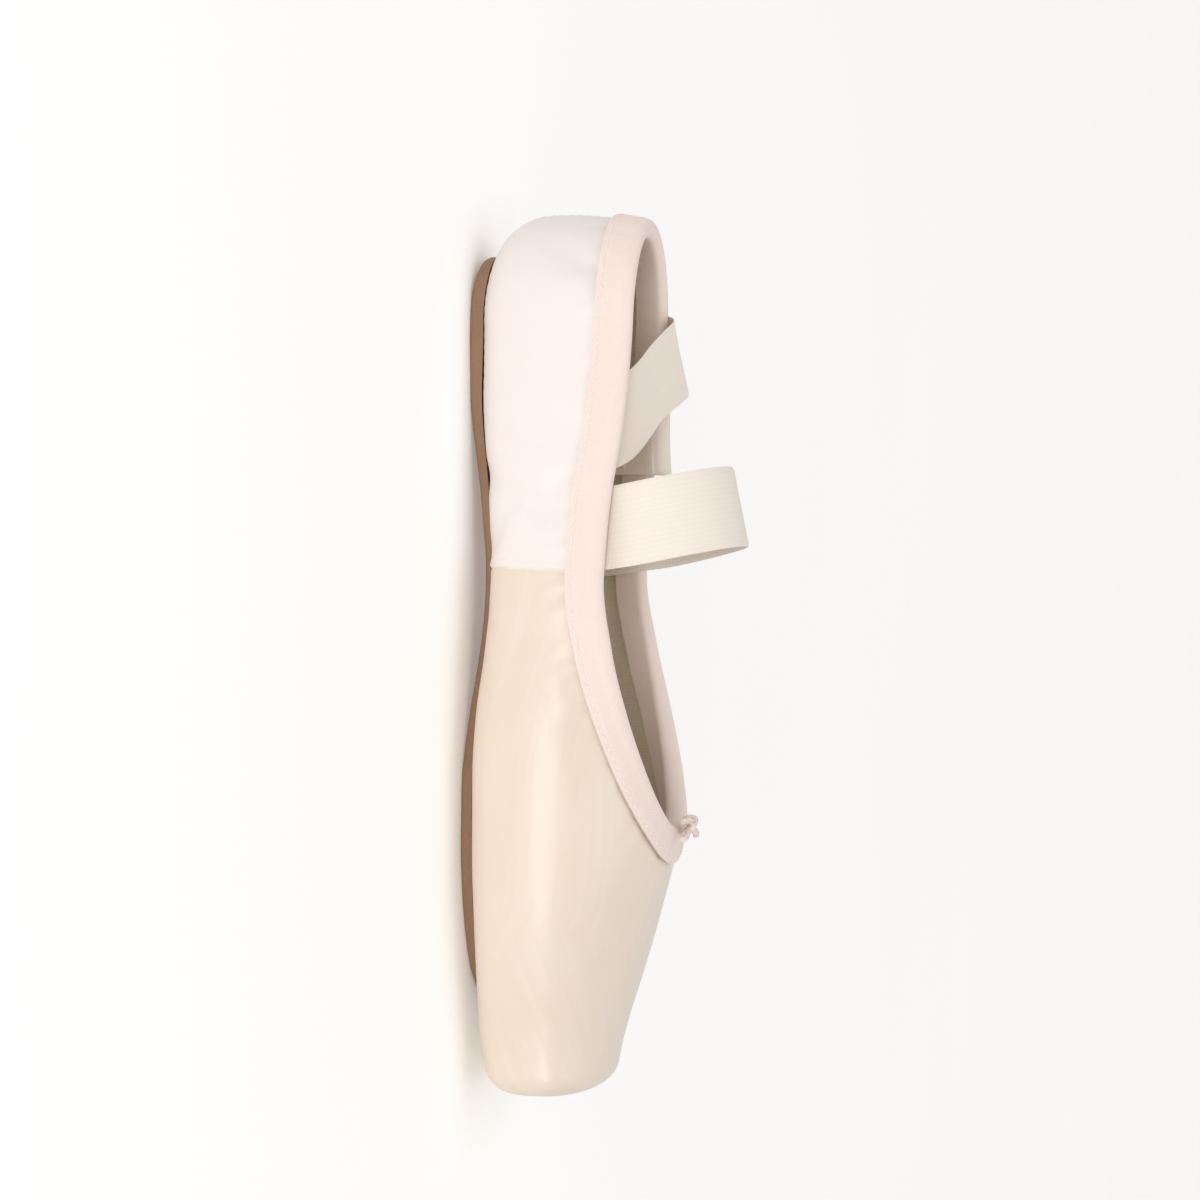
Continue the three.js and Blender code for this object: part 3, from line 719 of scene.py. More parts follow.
@dataclass(frozen=True)
class Weave:
    """Matte plain or twill weave, as in canvas, tape, cord and elastic."""

    name: str
    base: str
    shade: str
    pitch: float = 0.6
    across_pitch: float = 0.6
    depth: float = 0.08
    roughness: float = 0.86
    slant: float = 0.0

    def material(self) -> bpy.types.Material:
        """The weave as a material."""
        g = Graph(self.name)
        cloth, place = g.cloth(), g.place()
        slant = (0, 0, math.radians(self.slant))
        turned = g.node("ShaderNodeMapping", {}, {"Vector": cloth, "Rotation": slant})
        warp, weft = g.threads(turned, 0, self.pitch), g.threads(turned, 1, self.across_pitch)
        weave = warp * 0.5 + weft * 0.5
        clouds = g.noise(place, (60.0, 60.0, 60.0), 3.0)
        fuzz = g.noise(place, (2600.0, 2600.0, 2600.0), 2.0)
        return g.finish(
            {
                "Base Color": g.mix(srgb(self.base), srgb(self.shade), weave * 0.45 + clouds * 0.4),
                "Roughness": fuzz * 0.1 + (self.roughness - 0.05),
                "Normal": g.bump(weave * 0.7 + fuzz * 0.3, self.depth),
                "Sheen Weight": 0.25,
                "Sheen Roughness": 0.5,
                "Specular IOR Level": 0.3,
            }
        )


@dataclass(frozen=True)
class Leather:
    """Sole leather with a short nap, scuffs and darker grime."""

    name: str
    base: str
    shade: str
    grime: float = 0.5
    roughness: float = 0.78

    def material(self) -> bpy.types.Material:
        """The leather as a material."""
        g = Graph(self.name)
        place = g.place()
        nap = g.noise(place, (1500.0, 1500.0, 1500.0), 3.0)
        clouds = g.noise(place, (38.0, 60.0, 60.0), 4.0)
        scuffs = g.noise(place, (60.0, 900.0, 900.0), 2.0)
        lines = g.node(
            "ShaderNodeValToRGB", {"stops": ((0.62, (0, 0, 0, 1)), (0.72, (1, 1, 1, 1)))}, {"Fac": scuffs}
        )
        worn = g.mix(srgb(self.base), srgb(self.shade), clouds * self.grime + nap * 0.3)
        return g.finish(
            {
                "Base Color": g.mix(worn, srgb(self.shade), lines * 0.35),
                "Roughness": nap * 0.2 + (self.roughness - 0.1),
                "Normal": g.bump(nap * 0.7 + lines * -0.3, 0.12),
                "Specular IOR Level": 0.35,
            }
        )


@dataclass(frozen=True)
class Floor:
    """Plain pale studio floor."""

    name: str = "pale_floor"
    base: str = "#fbfbfa"
    shade: str = "#f8f8f7"
    glow: float = 0.2

    def material(self) -> bpy.types.Material:
        """The floor as a material."""
        g = Graph(self.name)
        clouds = g.noise(g.place(), (3.0, 3.0, 3.0), 1.0)
        base = g.mix(srgb(self.base), srgb(self.shade), clouds)
        return g.finish(
            {
                "Base Color": base,
                "Roughness": 0.9,
                "Emission Color": base,
                "Emission Strength": self.glow,
                "Specular IOR Level": 0.1,
            }
        )


SATIN = Satin("shoe_satin")
RIBBON_SATIN = Satin("ribbon_satin", "#f3e8dc", "#e8d8c6", "#f3e8dc", 0.3, 0.1)
LINING = Weave("canvas_lining", "#e9dfcf", "#d9ccb8", 0.9, 0.9, 0.1)
SOCK = Weave("insole_canvas", "#e4d8c4", "#d2c3ab", 1.1, 1.1, 0.14)
TAPE = Weave("binding_tape", "#f4e4dc", "#ebd7cd", 0.7, 0.7, 0.05, 0.8, 45.0)
STRING = Weave("drawstring_cotton", "#f3e6df", "#e4d0c5", 0.5, 0.9, 0.08, 0.85, 30.0)
ELASTIC = Weave("ribbed_elastic", "#f3eae0", "#eae0d3", 0.9, 1.35, 0.07, 0.82)
THREAD = Weave("sewing_thread", "#fbf5f0", "#f0e2da", 0.4, 0.4, 0.05, 0.6)
SOLE = Leather("sole_leather", "#b08a6c", "#8a6850")
SOLE_EDGE = Leather("sole_edge", "#a78368", "#7d5c46", 0.6, 0.6)


# ---------------------------------------------------------------- the pieces


@dataclass(frozen=True)
class Crease:
    """A soft trough with a ridge along each side, between two places of a side, in x and z."""

    side: int
    start: tuple[float, float]
    end: tuple[float, float]
    width: float
    depth: float

    def height(self, points: Points) -> Points:
        """Height of the crease at points of the upper."""
        a, b = np.array(self.start), np.array(self.end)
        flat = points[..., [0, 2]]
        run = b - a
        share = np.clip((flat - a) @ run / (run @ run), 0, 1)
        gap = np.linalg.norm(flat - a - share[..., None] * run, axis=-1) / self.width
        taper = np.sin(math.pi * (0.15 + 0.7 * share))
        on_side = ease(2, 9, self.side * points[..., 1])
        return -self.depth * (1 - 0.9 * gap**2) * np.exp(-(gap**2)) * taper * on_side


@dataclass
class Upper:
    """The hollow satin upper with its canvas lining, quarter seams, creases, and pleats under the toe."""

    last: Last
    columns: int = 84
    heel_rows: int = 34
    rows: tuple[Stretch, ...] = (
        Stretch(30, 90, 38),
        Stretch(90, 103, 30),
        Stretch(103, 152, 30),
        Stretch(152, 168, 16, Spacing.CLOSING),
        Stretch(168, 180, 8),
        Stretch(180, 192, 14, Spacing.CLOSING),
        Stretch(192, 232, 50),
        Stretch(232, 238, 12, Spacing.CLOSING),
    )
    seam_x: float = -22.0
    seam_slant: float = 0.05
    seam_step: float = 0.38
    seam_fade: float = 12.0
    seam_edge: float = 0.5
    seam_stitch: float = 2.3
    back_stitch: float = 1.9
    stitch_lift: float = 0.12
    seam_heights: tuple[float, float, int] = (8.5, 36, 40)
    back_heights: tuple[float, float, int] = (9, 38, 30)
    seam_grooves: tuple[Swell, ...] = (Swell(-0.35, 0.5, 0.22), Swell(2.3, 0.7, 0.14))
    back_swells: tuple[Swell, ...] = (Swell(0, 0.7, 0.3), Swell(1.9, 1.0, -0.12))
    undulation: float = 0.10
    undulation_x: tuple[float, float] = (9, 17)
    undulation_z: tuple[float, float] = (7, 6)
    undulation_shift: float = 2.0
    stand_off: float = 0.05
    back_stretch: tuple[float, float] = (-96, -104)
    back_rise: tuple[float, float] = (3, 6)
    gather_rise: tuple[float, float] = (6, 12.5)
    centre_share: float = 0.35
    centre_stretch: tuple[float, float] = (0.0, 1.2)
    pleat_wander: float = 0.12
    wander_length: float = 2.7
    firm_share: float = 0.6
    firm_stretch: tuple[float, float] = (60, 90)
    pleat_pitch: float = 3.3
    pleat_depth: float = 0.85
    gather_depth: float = 0.16
    gather_reach: float = 3.5
    pleat_spread: float = 12.5
    toe_reach: float = 27.0
    fold_out: float = 0.78
    fold_back: float = 0.22
    pucker_depth: float = 0.13
    pucker_from: float = 24.0
    pucker_zone: tuple[float, float] = (8, 7)
    pucker_slant: float = 0.25
    pucker_waves: tuple[tuple[float, float, float], ...] = ((1, 7.3, 0.1), (0.7, 4.9, 0.4), (0.5, 11.0, 0.7))
    girth_samples: int = 720
    low_crowding: float = 1.1
    low_angles: tuple[float, float] = (1.35, 0.95)
    collar_skip: int = 3
    creases: tuple[Crease, ...] = (
        Crease(-1, (-48, 6), (-36, 27), 4.2, 1.05),
        Crease(-1, (-27, 8), (-41, 15), 3.2, 0.95),
        Crease(-1, (-34, 20), (-50, 33), 4.4, 0.5),
        Crease(-1, (-62, 10), (-53, 31), 5.0, 0.85),
        Crease(-1, (-78, 14), (-70, 36), 5.6, 0.6),
        Crease(-1, (-94, 14), (-84, 32), 5.6, 0.75),
        Crease(-1, (-108, 26), (-99, 42), 4.6, 0.6),
        Crease(1, (-52, 6), (-38, 29), 4.2, 1.0),
        Crease(1, (-28, 9), (-43, 17), 3.4, 0.85),
        Crease(1, (-36, 22), (-54, 35), 3.8, 0.65),
        Crease(1, (-72, 12), (-61, 33), 5.2, 0.8),
        Crease(1, (-100, 18), (-88, 36), 5.4, 0.7),
        Crease(-1, (-10, 11), (2, 29), 5.6, 0.5),
        Crease(-1, (4, 14), (18, 30), 6.0, 0.35),
        Crease(1, (-8, 10), (6, 28), 5.6, 0.5),
        Crease(-1, (20, 34), (36, 40), 4.2, 0.4),
        Crease(-1, (8, 33), (24, 38), 3.6, 0.35),
        Crease(1, (18, 33), (34, 41), 4.2, 0.4),
    )

    def seam(self, z: Points) -> Points:
        """Place along the shoe of the quarter seam at a height."""
        return self.seam_x + self.seam_slant * (z - 25) + 0.15 * np.sin(z * 0.9)

    def relief(self, points: Points, outline: Line, collar: Line) -> Points:
        """How far the satin stands off the last.

        Args:
            points: points of the last's surface.
            outline: the outsole's outline in x and y.
            collar: the collar's edge on the left side.

        Returns:
            The height at each point.
        """
        x, y, z = points[..., 0], points[..., 1], points[..., 2]
        (short_x, long_x), (long_z, short_z) = self.undulation_x, self.undulation_z
        cross = np.sin(z / short_z - x / long_x + self.undulation_shift)
        waves = self.undulation * np.sin(x / short_x + z / long_z + np.sign(y)) * cross
        height = (waves + self.stand_off) * (1 - self.firm_share * ease(*self.firm_stretch, x))
        for crease in self.creases:
            height = height + crease.height(points)
        behind = self.seam(z) - x
        fade = np.where(behind > 0, np.exp(-np.maximum(behind, 0) / self.seam_fade), 0)
        panel = fade * ease(0, self.seam_edge, behind)
        groove = sum(swell.over(behind) for swell in self.seam_grooves)
        height = height + self.seam_step * panel - groove
        back = sum(swell.over(np.abs(y)) for swell in self.back_swells)
        height = height - back * ease(*self.back_stretch, x) * ease(*self.back_rise, z)
        return height + self.gathers(points, outline) + self.puckers(points, collar)

    def gathers(self, points: Points, outline: Line) -> Points:
        """Pleats that the sole's edge holds: a deep fan under the toe and small gathers elsewhere."""
        gap, along = outline.nearest(np.stack([points[..., 0], np.abs(points[..., 1])], -1))
        toe = np.exp(-((along / self.toe_reach) ** 4))
        reach = self.gather_reach + self.pleat_spread * toe
        depth = self.gather_depth + (self.pleat_depth - self.gather_depth) * toe
        phase = along / self.pleat_pitch + self.pleat_wander * np.sin(along / self.wander_length)
        fold = phase - np.floor(phase)
        profile = np.where(fold < self.fold_out, fold / self.fold_out, (1 - fold) / self.fold_back) - 0.5
        inside = np.abs(points[..., 1]) < self._half(outline, points[..., 0])
        fade = np.where(inside, 1.0, 1 - ease(0, 1, gap / reach))
        low = 1 - ease(*self.gather_rise, points[..., 2])
        centre = ease(*self.centre_stretch, np.abs(points[..., 1]))
        return profile * depth * fade * low * (self.centre_share + (1 - self.centre_share) * centre)

    @staticmethod
    def _half(outline: Line, x: Points) -> Points:
        """Half width of the sole's outline."""
        order = np.argsort(outline.points[:, 0])
        xs, ys = outline.points[order, 0], outline.points[order, 1]
        return np.interp(x, xs, ys, left=0, right=0)

    def puckers(self, points: Points, collar: Line) -> Points:
        """Short wrinkles that the drawn-up binding leaves in the satin."""
        near = points[..., 2] > self.pucker_from
        gap, along = np.full(points.shape[:-1], 99.0), np.zeros(points.shape[:-1])
        sided = np.where(points[near][:, 1:2] < 0, mirrored(points[near]), points[near])
        gap[near], along[near] = collar.nearest(sided)
        shape = ripple(along + gap * self.pucker_slant, self.pucker_waves)
        return self.pucker_depth * shape * bell(gap, *self.pucker_zone) * ease(0, 3, gap)

    def surfaces(self, outline: Line, edge: CollarEdge) -> tuple[Points, Points, Points, Points]:
        """Works out the left side.

        Args:
            outline: the outsole's outline.
            edge: the collar's edge.

        Returns:
            Outer points of both sides, inner points of the left side and the places on the cloth.
        """
        last = self.last
        heel_turn = QUARTER_TURN * np.arange(self.heel_rows) / self.heel_rows
        straight = places_of(self.rows)
        station = np.concatenate([np.full(self.heel_rows, last.heel_centre), straight])
        turn = np.concatenate([heel_turn, np.full(len(straight), QUARTER_TURN)])
        start, end = last.margin_angle(station), last.collar_angle(station, turn)
        dense = np.linspace(0, 1, self.girth_samples)
        angles = start[:, None] + (end - start)[:, None] * dense
        path = last.point(station[:, None], turn[:, None], angles)
        runs = np.linalg.norm(np.diff(path, axis=1), axis=2)
        middle = (angles[:, 1:] + angles[:, :-1]) / 2
        weighted = np.cumsum(runs * (1 + self.low_crowding * ease(*self.low_angles, middle)), axis=1)
        true = np.concatenate([np.zeros((len(station), 1)), np.cumsum(runs, axis=1)], axis=1)
        share = np.linspace(0, 1, self.columns + 1)
        chosen, girth = [], []
        for row_angles, row_weight, row_true in zip(angles, weighted, true):
            knots = np.concatenate([[0.0], row_weight / row_weight[-1]])
            chosen.append(np.interp(share, knots, row_angles))
            girth.append(np.interp(share, knots, row_true))
        surface = last.point(station[:, None], turn[:, None], np.array(chosen))
        surface[np.abs(surface[..., 1]) < 1e-6, 1] = 0
        out = last.outward(surface)
        on_line = surface[..., 1] == 0
        out[on_line, 1] = 0
        out = unit(out)
        wall = last.form.at("wall", station - last.heel_reach * np.cos(turn))
        inner = surface - out * wall[:, None, None]
        collar = Line(edge.points[:: self.collar_skip])
        left = surface + out * self.relief(surface, outline, collar)[..., None]
        other = mirrored(surface)
        right = other + mirrored(out) * self.relief(other, outline, collar)[..., None]
        right[on_line] = left[on_line]
        round_heel = last.heel_reach * math.pi / 2
        behind = last.heel_centre - round_heel * (1 - turn * 2 / math.pi)
        along = np.where(np.arange(len(turn)) < self.heel_rows, behind, station)
        cloth = joined(along[:, None], np.array(girth))
        return left, right, inner, cloth

    def build(self, outline: Line, edge: CollarEdge) -> bpy.types.Object:
        """Makes the upper as one closed wall.

        Args:
            outline: the outsole's outline.
            edge: the collar's edge.

        Returns:
            The upper.
        """
        left, right, inner, cloth = self.surfaces(outline, edge)
        skin = Skin()
        for outer, lining in ((left, inner), (right, mirrored(inner))):
            skin.grid(outer, cloth, 0)
            skin.grid(lining, cloth, 1)
            for column in (0, -1):
                open_rows = np.flatnonzero(np.abs(lining[:, column, 1]) > 1e-5)
                rows = slice(0, open_rows[-1] + 2)
                rim = np.stack([outer[rows, column], lining[rows, column]], axis=1)
                skin.grid(rim, np.stack([cloth[rows, column]] * 2, axis=1), 1)
        for slot, (one, other) in enumerate(((left, right), (inner, mirrored(inner)))):
            skin.lid(np.concatenate([one[-1], other[-1][::-1][1:-1]]), slot)
        piece = skin.build("satin_upper", [SATIN.material(), LINING.material()], 60)
        set_attribute(piece, PANEL, lambda p: ease(-0.3, 0.3, self.seam(p[:, 2]) - p[:, 0]))
        return dress(piece, "satin", "upper")

    def seam_lines(self) -> list[tuple[Points, Points]]:
        """Lines for the stitches of the quarter seams and of the back seam, with their outward directions."""
        last = self.last
        z, up = np.linspace(*self.seam_heights), np.linspace(*self.back_heights)
        half = last.heel_reach
        lines = [joined(self.seam(z) - self.seam_stitch, side * half, z) for side in (1, -1)]
        lines += [joined(1 - last.length / 2, side * self.back_stitch, up) for side in (1, -1)]
        settled = [last.settle(line) for line in lines]
        return [(line + last.outward(line) * self.stitch_lift, last.outward(line)) for line in settled]


@dataclass
class Outsole:
    """The leather outsole, hollowed to the upper's underside, with a cut and bevelled edge."""

    last: Last
    thickness: float = 2.0
    bevel: float = 0.8
    gap: float = 0.5
    outline_places: int = 150
    least_half: float = 2.9
    edge_waves: tuple[tuple[float, float, float], ...] = ((0.12, 17, 0.2), (0.07, 6.1, 0.6))
    wavy_from: tuple[float, float] = (3, 12)
    outline: Table = Table(
        ("station", "half", "tread"),
        (
            (11, 3, 2),
            (12.2, 7, 1.5),
            (15, 10.6, 0.8),
            (19, 13, 0.2),
            (25, 14.4, 0),
            (36, 15, 0),
            (48, 14.6, 0),
            (76, 12.4, 2.3),
            (98, 11.6, 3.6),
            (116, 13.4, 2.8),
            (136, 19, 0.9),
            (154, 24, 0),
            (172, 25, 0),
            (190, 21.8, 0),
            (202, 17, 0.2),
            (208, 12.6, 0.5),
            (211.5, 7.6, 0.7),
            (212.6, 3, 0.8),
        ),
    )
    rows: tuple[Stretch, ...] = (
        Stretch(11, 19, 22),
        Stretch(19, 190, 90),
        Stretch(190, 206, 16),
        Stretch(206, 212.6, 22, Spacing.CLOSING),
    )

    def line(self) -> Line:
        """The outline's left half in x and y, from the toe's centre round to the heel's centre."""
        places = np.linspace(self.rows[0].start, self.rows[-1].end, self.outline_places)[::-1]
        half = self.outline.at("half", places)
        points = np.stack([places - self.last.length / 2, half], axis=-1)
        ends = points[[0, -1]] * np.array([1, 0])
        return Line(np.concatenate([ends[:1], points, ends[1:]]))

    def build(self) -> bpy.types.Object:
        """Makes the sole, with a tread face and a darker cut edge."""
        station = places_of(self.rows)[:, None]
        half = self.outline.at("half", station)
        tread = self.outline.at("tread", station)
        wobble = ripple(station, self.edge_waves)
        half = np.maximum(half + wobble * ease(*self.wavy_from, half), self.least_half)
        bevel = np.minimum(self.bevel, half / 3)
        share = np.sin(np.linspace(-1, 1, 27) * math.pi / 2)[None]
        top_y = share * half
        top = self.last.underside(station, top_y) - self.gap
        least = top.min(axis=1, keepdims=True)
        foot = np.maximum(tread, least - self.thickness)
        rise = np.minimum(bevel, (least - foot) / 2)
        x = station - self.last.length / 2
        turn = np.linspace(0, math.pi / 2, 6)[None]

        def at(y: Points, z: Points) -> Points:
            """Points of one strip of the section."""
            return joined(x, y, z)

        corner_y = half - bevel + bevel * np.cos(turn)
        corner_z = foot + rise - rise * np.sin(turn)
        flat_y = (half - bevel) * np.linspace(1, -1, 25)[None]
        side_z = top[:, -1:] + (foot + rise - top[:, -1:]) * np.linspace(0, 1, 5)[None]
        skin = Skin()
        skin.grid(at(top_y, top), slot=0)
        for side in (1, -1):
            skin.grid(at(half * side, side_z), slot=1)
            skin.grid(at(corner_y * side, corner_z), slot=1)
        skin.grid(at(flat_y, foot), slot=0)
        for row in (0, -1):
            ring = np.concatenate(
                [
                    at(top_y, top)[row],
                    at(half, side_z)[row, 1:],
                    at(corner_y, corner_z)[row, 1:],
                    at(flat_y, foot)[row, 1:],
                    at(-corner_y, corner_z)[row, ::-1][1:],
                    at(-half, side_z)[row, ::-1][1:-1],
                ]
            )
            skin.lid(ring, 1)
        piece = skin.build("leather_outsole", [SOLE.material(), SOLE_EDGE.material()], 40)
        return dress(piece, "sole_leather", "outsole")


@dataclass
class Insole:
    """The canvas-covered insole that lies on the lasting margin."""

    last: Last
    thickness: float = 1.8
    gap: float = 0.8
    edge_loss: float = 0.45
    edge_power: int = 14
    draft: float = 0.985
    outline: Table = Table(
        ("station", "half"),
        (
            (11, 3),
            (12.4, 7.4),
            (15.6, 11.2),
            (21, 14),
            (30, 15.6),
            (50, 16.2),
            (76, 16.4),
            (98, 18),
            (116, 21),
            (136, 25.4),
            (158, 28),
            (176, 27),
            (196, 22.5),
            (212, 17),
            (220, 12.6),
            (224, 8),
            (225.5, 3),
        ),
    )
    rows: tuple[Stretch, ...] = (
        Stretch(11, 21, 22),
        Stretch(21, 212, 90),
        Stretch(212, 225.5, 26, Spacing.CLOSING),
    )

    def build(self) -> bpy.types.Object:
        """Makes the insole with rounded edges."""
        station = places_of(self.rows)[:, None]
        half = self.outline.at("half", station)
        share = np.sin(np.linspace(-1, 1, 29) * math.pi / 2)[None]
        under = self.last.footbed(station, share * half) + self.gap
        round_over = self.thickness * (1 - self.edge_loss * np.abs(share) ** self.edge_power)
        x = station - self.last.length / 2
        low = joined(x, share * half, under)
        high = joined(x, share * half * self.draft, under + round_over)
        rings = np.concatenate([low, high[:, ::-1]], axis=1)
        skin = Skin()
        skin.grid(rings, rings[..., :2], closed=True)
        for row in (0, -1):
            skin.lid(rings[row])
        return dress(skin.build("canvas_insole", [SOCK.material()], 45), "insole_board", "insole")


@dataclass
class Binding:
    """The bias tape folded over the collar's edge, drawn in by the cord that runs inside its fold."""

    last: Last
    edge: CollarEdge
    near: float = 0.7
    thickness: float = 0.9
    inside_gap: float = 1.0
    outside: float = 8.5
    inside: float = 6.5
    crown: float = 1.9
    stitch_depth: float = 7.2
    stitch_sink: float = 0.1
    crown_power: float = 0.8
    tuck: float = 0.2
    wave_height: float = 0.07
    waves: tuple[tuple[float, float, float], ...] = ((1, 5.3, 0.2), (0.6, 3.4, 0.5), (0.8, 13.0, 0.3))
    side_stretch: float = 1.037

    def profile(self) -> tuple[list[tuple[float, float, float]], Points]:
        """Section of the tape.

        Returns:
            Rows of depth down the wall, offset outwards, and the share of the wall's thickness taken off the
            offset; and the distance round the section at each row.
        """
        far = self.near + self.thickness
        swells = (
            Swell(at=self.outside, width=0.5, height=-0.28),
            Swell(at=self.stitch_depth, width=0.6, height=-0.2),
            Swell(at=1.3, width=1.3, height=0.28),
        )
        outer = np.linspace(self.outside, 0, 18)
        rows = [(depth, sum((swell.over(depth) for swell in swells), far), 0.0) for depth in outer]
        deep = self.inside_gap + self.thickness
        for phi in np.linspace(0, math.pi, 16)[1:-1]:
            share = (1 - math.cos(phi)) / 2
            lift = self.crown * math.sin(phi) ** self.crown_power
            rows.append((-lift, far * (1 - share) - deep * share, share))
        rows += [(depth, -deep, 1.0) for depth in np.linspace(0, self.inside, 9)]
        rows += [(depth, -self.inside_gap, 1.0) for depth in np.linspace(self.inside, 0, 7)]
        rows += [(-self.near, -self.inside_gap + self.tuck, 1.0), (-self.near, self.near - self.tuck, 0.0)]
        rows += [(depth, self.near, 0.0) for depth in np.linspace(0, self.outside, 7)]
        flat = np.array([(d, o - w * 2) for d, o, w in rows])
        return rows, Line(flat).along

    def strip(self, depth: float, offset: Points) -> tuple[Points, Points]:
        """A line of the tape on the left side.

        Args:
            depth: distance down the wall from the edge.
            offset: distance out of the last's surface.

        Returns:
            The line's points and outward directions.
        """
        e = self.edge
        if depth <= 0:
            place, out = e.points + e.down * depth, e.out
        else:
            place = self.last.settle(e.points + e.down * depth)
            out = self.last.outward(place)
        place = place + out * offset[:, None]
        place[[0, -1], 1] = 0
        return place, out

    def build(self) -> bpy.types.Object:
        """Makes the tape as a closed loop."""
        rows, girth = self.profile()
        along = self.edge.along
        total = along[-1]
        strips = []
        for depth, offset, walls in rows:
            middle = math.sin(math.pi * min(1.0, max(0.0, depth / self.outside)))
            sides = [
                self.wave_height * middle * ripple(along * stretch, self.waves)
                for stretch in (1, self.side_stretch)
            ]
            left = self.strip(depth, offset + sides[0] - walls * self.edge.wall)[0]
            right = mirrored(self.strip(depth, offset + sides[1] - walls * self.edge.wall)[0])
            for end in (0, -1):
                joint = (left[end] + right[end]) / 2
                left[end], right[end] = joint, joint
            strips.append(np.concatenate([left, right[::-1][1:]]))
        loop = np.stack(strips, axis=1)
        distance = np.concatenate([along, 2 * total - along[::-1][1:]])
        cloth = joined(distance[:, None], girth[None])
        skin = Skin()
        skin.grid(loop, cloth, closed=True)
        return dress(skin.build("collar_binding", [TAPE.material()], 55), "binding_tape", "binding")

    def stitch_line(self) -> list[tuple[Points, Points]]:
        """The row of stitches near the tape's lower edge, on both sides."""
        offset = np.full(len(self.edge.points), self.near + self.thickness - self.stitch_sink)
        place, out = self.strip(self.stitch_depth, offset)
        loop = np.concatenate([place, mirrored(place)[::-1][1:]])
        return [(loop, np.concatenate([out, mirrored(out)[::-1][1:]]))]


ACROSS_START = np.array([0.31, 0.2, 0.93])
PLIES = 3
PLY_LAY = 7.5
PLY_DEPTH = 0.11


def tube(skin: Skin, path: Points, radius: float, closed: bool = False, sides: int = 14) -> None:
    """Adds a laid cord along a path.

    Args:
        skin: the mesh that takes it.
        path: the cord's middle.
        radius: its radius.
        closed: whether the path's end meets its start.
        sides: points round the cord.
    """
    if closed:
        path = np.concatenate([path, path[:1]])
    way, across = transported(path, ACROSS_START)
    other = np.cross(way, across)
    along = Line(path).along
    if closed:
        lag = math.atan2(across[-1] @ other[0], across[-1] @ across[0])
        spin = -lag * along / along[-1]
        across, other = (
            across * np.cos(spin)[:, None] + other * np.sin(spin)[:, None],
            other * np.cos(spin)[:, None] - across * np.sin(spin)[:, None],
        )
    angle = np.linspace(0, math.tau, sides, endpoint=False)
    lay = np.cos(PLIES * (angle[None] + along[:, None] * (math.tau / PLY_LAY)))
    reach = radius * (1 + PLY_DEPTH * lay)[..., None]
    rings = path[:, None] + reach * (
        across[:, None] * np.cos(angle)[None, :, None] + other[:, None] * np.sin(angle)[None, :, None]
    )
    if closed:
        rings[-1] = rings[0]
    cloth = joined(along[:, None], angle[None] * radius)
    skin.grid(rings, cloth, closed=True)
    if not closed:
        skin.lid(rings[0])
        skin.lid(rings[-1])


@dataclass
class DrawstringKnot:
    """The drawstring's small tied knot at the front of the throat, with its two strands and short ends."""

    last: Last
    behind: float = 1.5
    rise: float = 1.6
    radius: float = 0.82
    height: float = 2.45
    loop_places: int = 90
    reach: tuple[float, float, float] = (2.3, 3.2, 1.25)

    def build(self) -> bpy.types.Object:
        """Makes the knot, strands and ends."""
        station = self.last.throat - self.behind
        top = float(self.last.form.at("crest", np.array(station))) + self.rise
        middle = np.array([station - self.last.length / 2, 0, top + self.height])
        t = np.linspace(0, math.tau, self.loop_places, endpoint=False)
        trefoil = np.stack([np.cos(t) - 2 * np.cos(2 * t), np.sin(t) + 2 * np.sin(2 * t), -np.sin(3 * t)], -1)
        skin = Skin()
        tube(skin, middle + trefoil / np.array([3, 3, 1]) * np.array(self.reach), self.radius, closed=True)
        for side in (1, -1):
            strand = np.array(
                [(50.6, 9.6, 2.3), (49.9, 8.0, 2.7), (49.2, 6.2, 2.8), (48.4, 3.6, 2.6), (47.8, 1.6, 2.5)]
            )
            tail = np.array([(46.8, 1.2, 2.6), (45.9, 3.0, 3.2), (45.6, 4.6, 2.7), (45.9, 6.3, 1.6)])
            for rows in (strand, tail):
                points = rows * np.array([1, side, 1]) + np.array([0, 0, top])
                tube(skin, Route.smooth(points, 5), self.radius)
        return dress(skin.build("tied_drawstring", [STRING.material()], 60), "drawstring", "drawstring_knot")


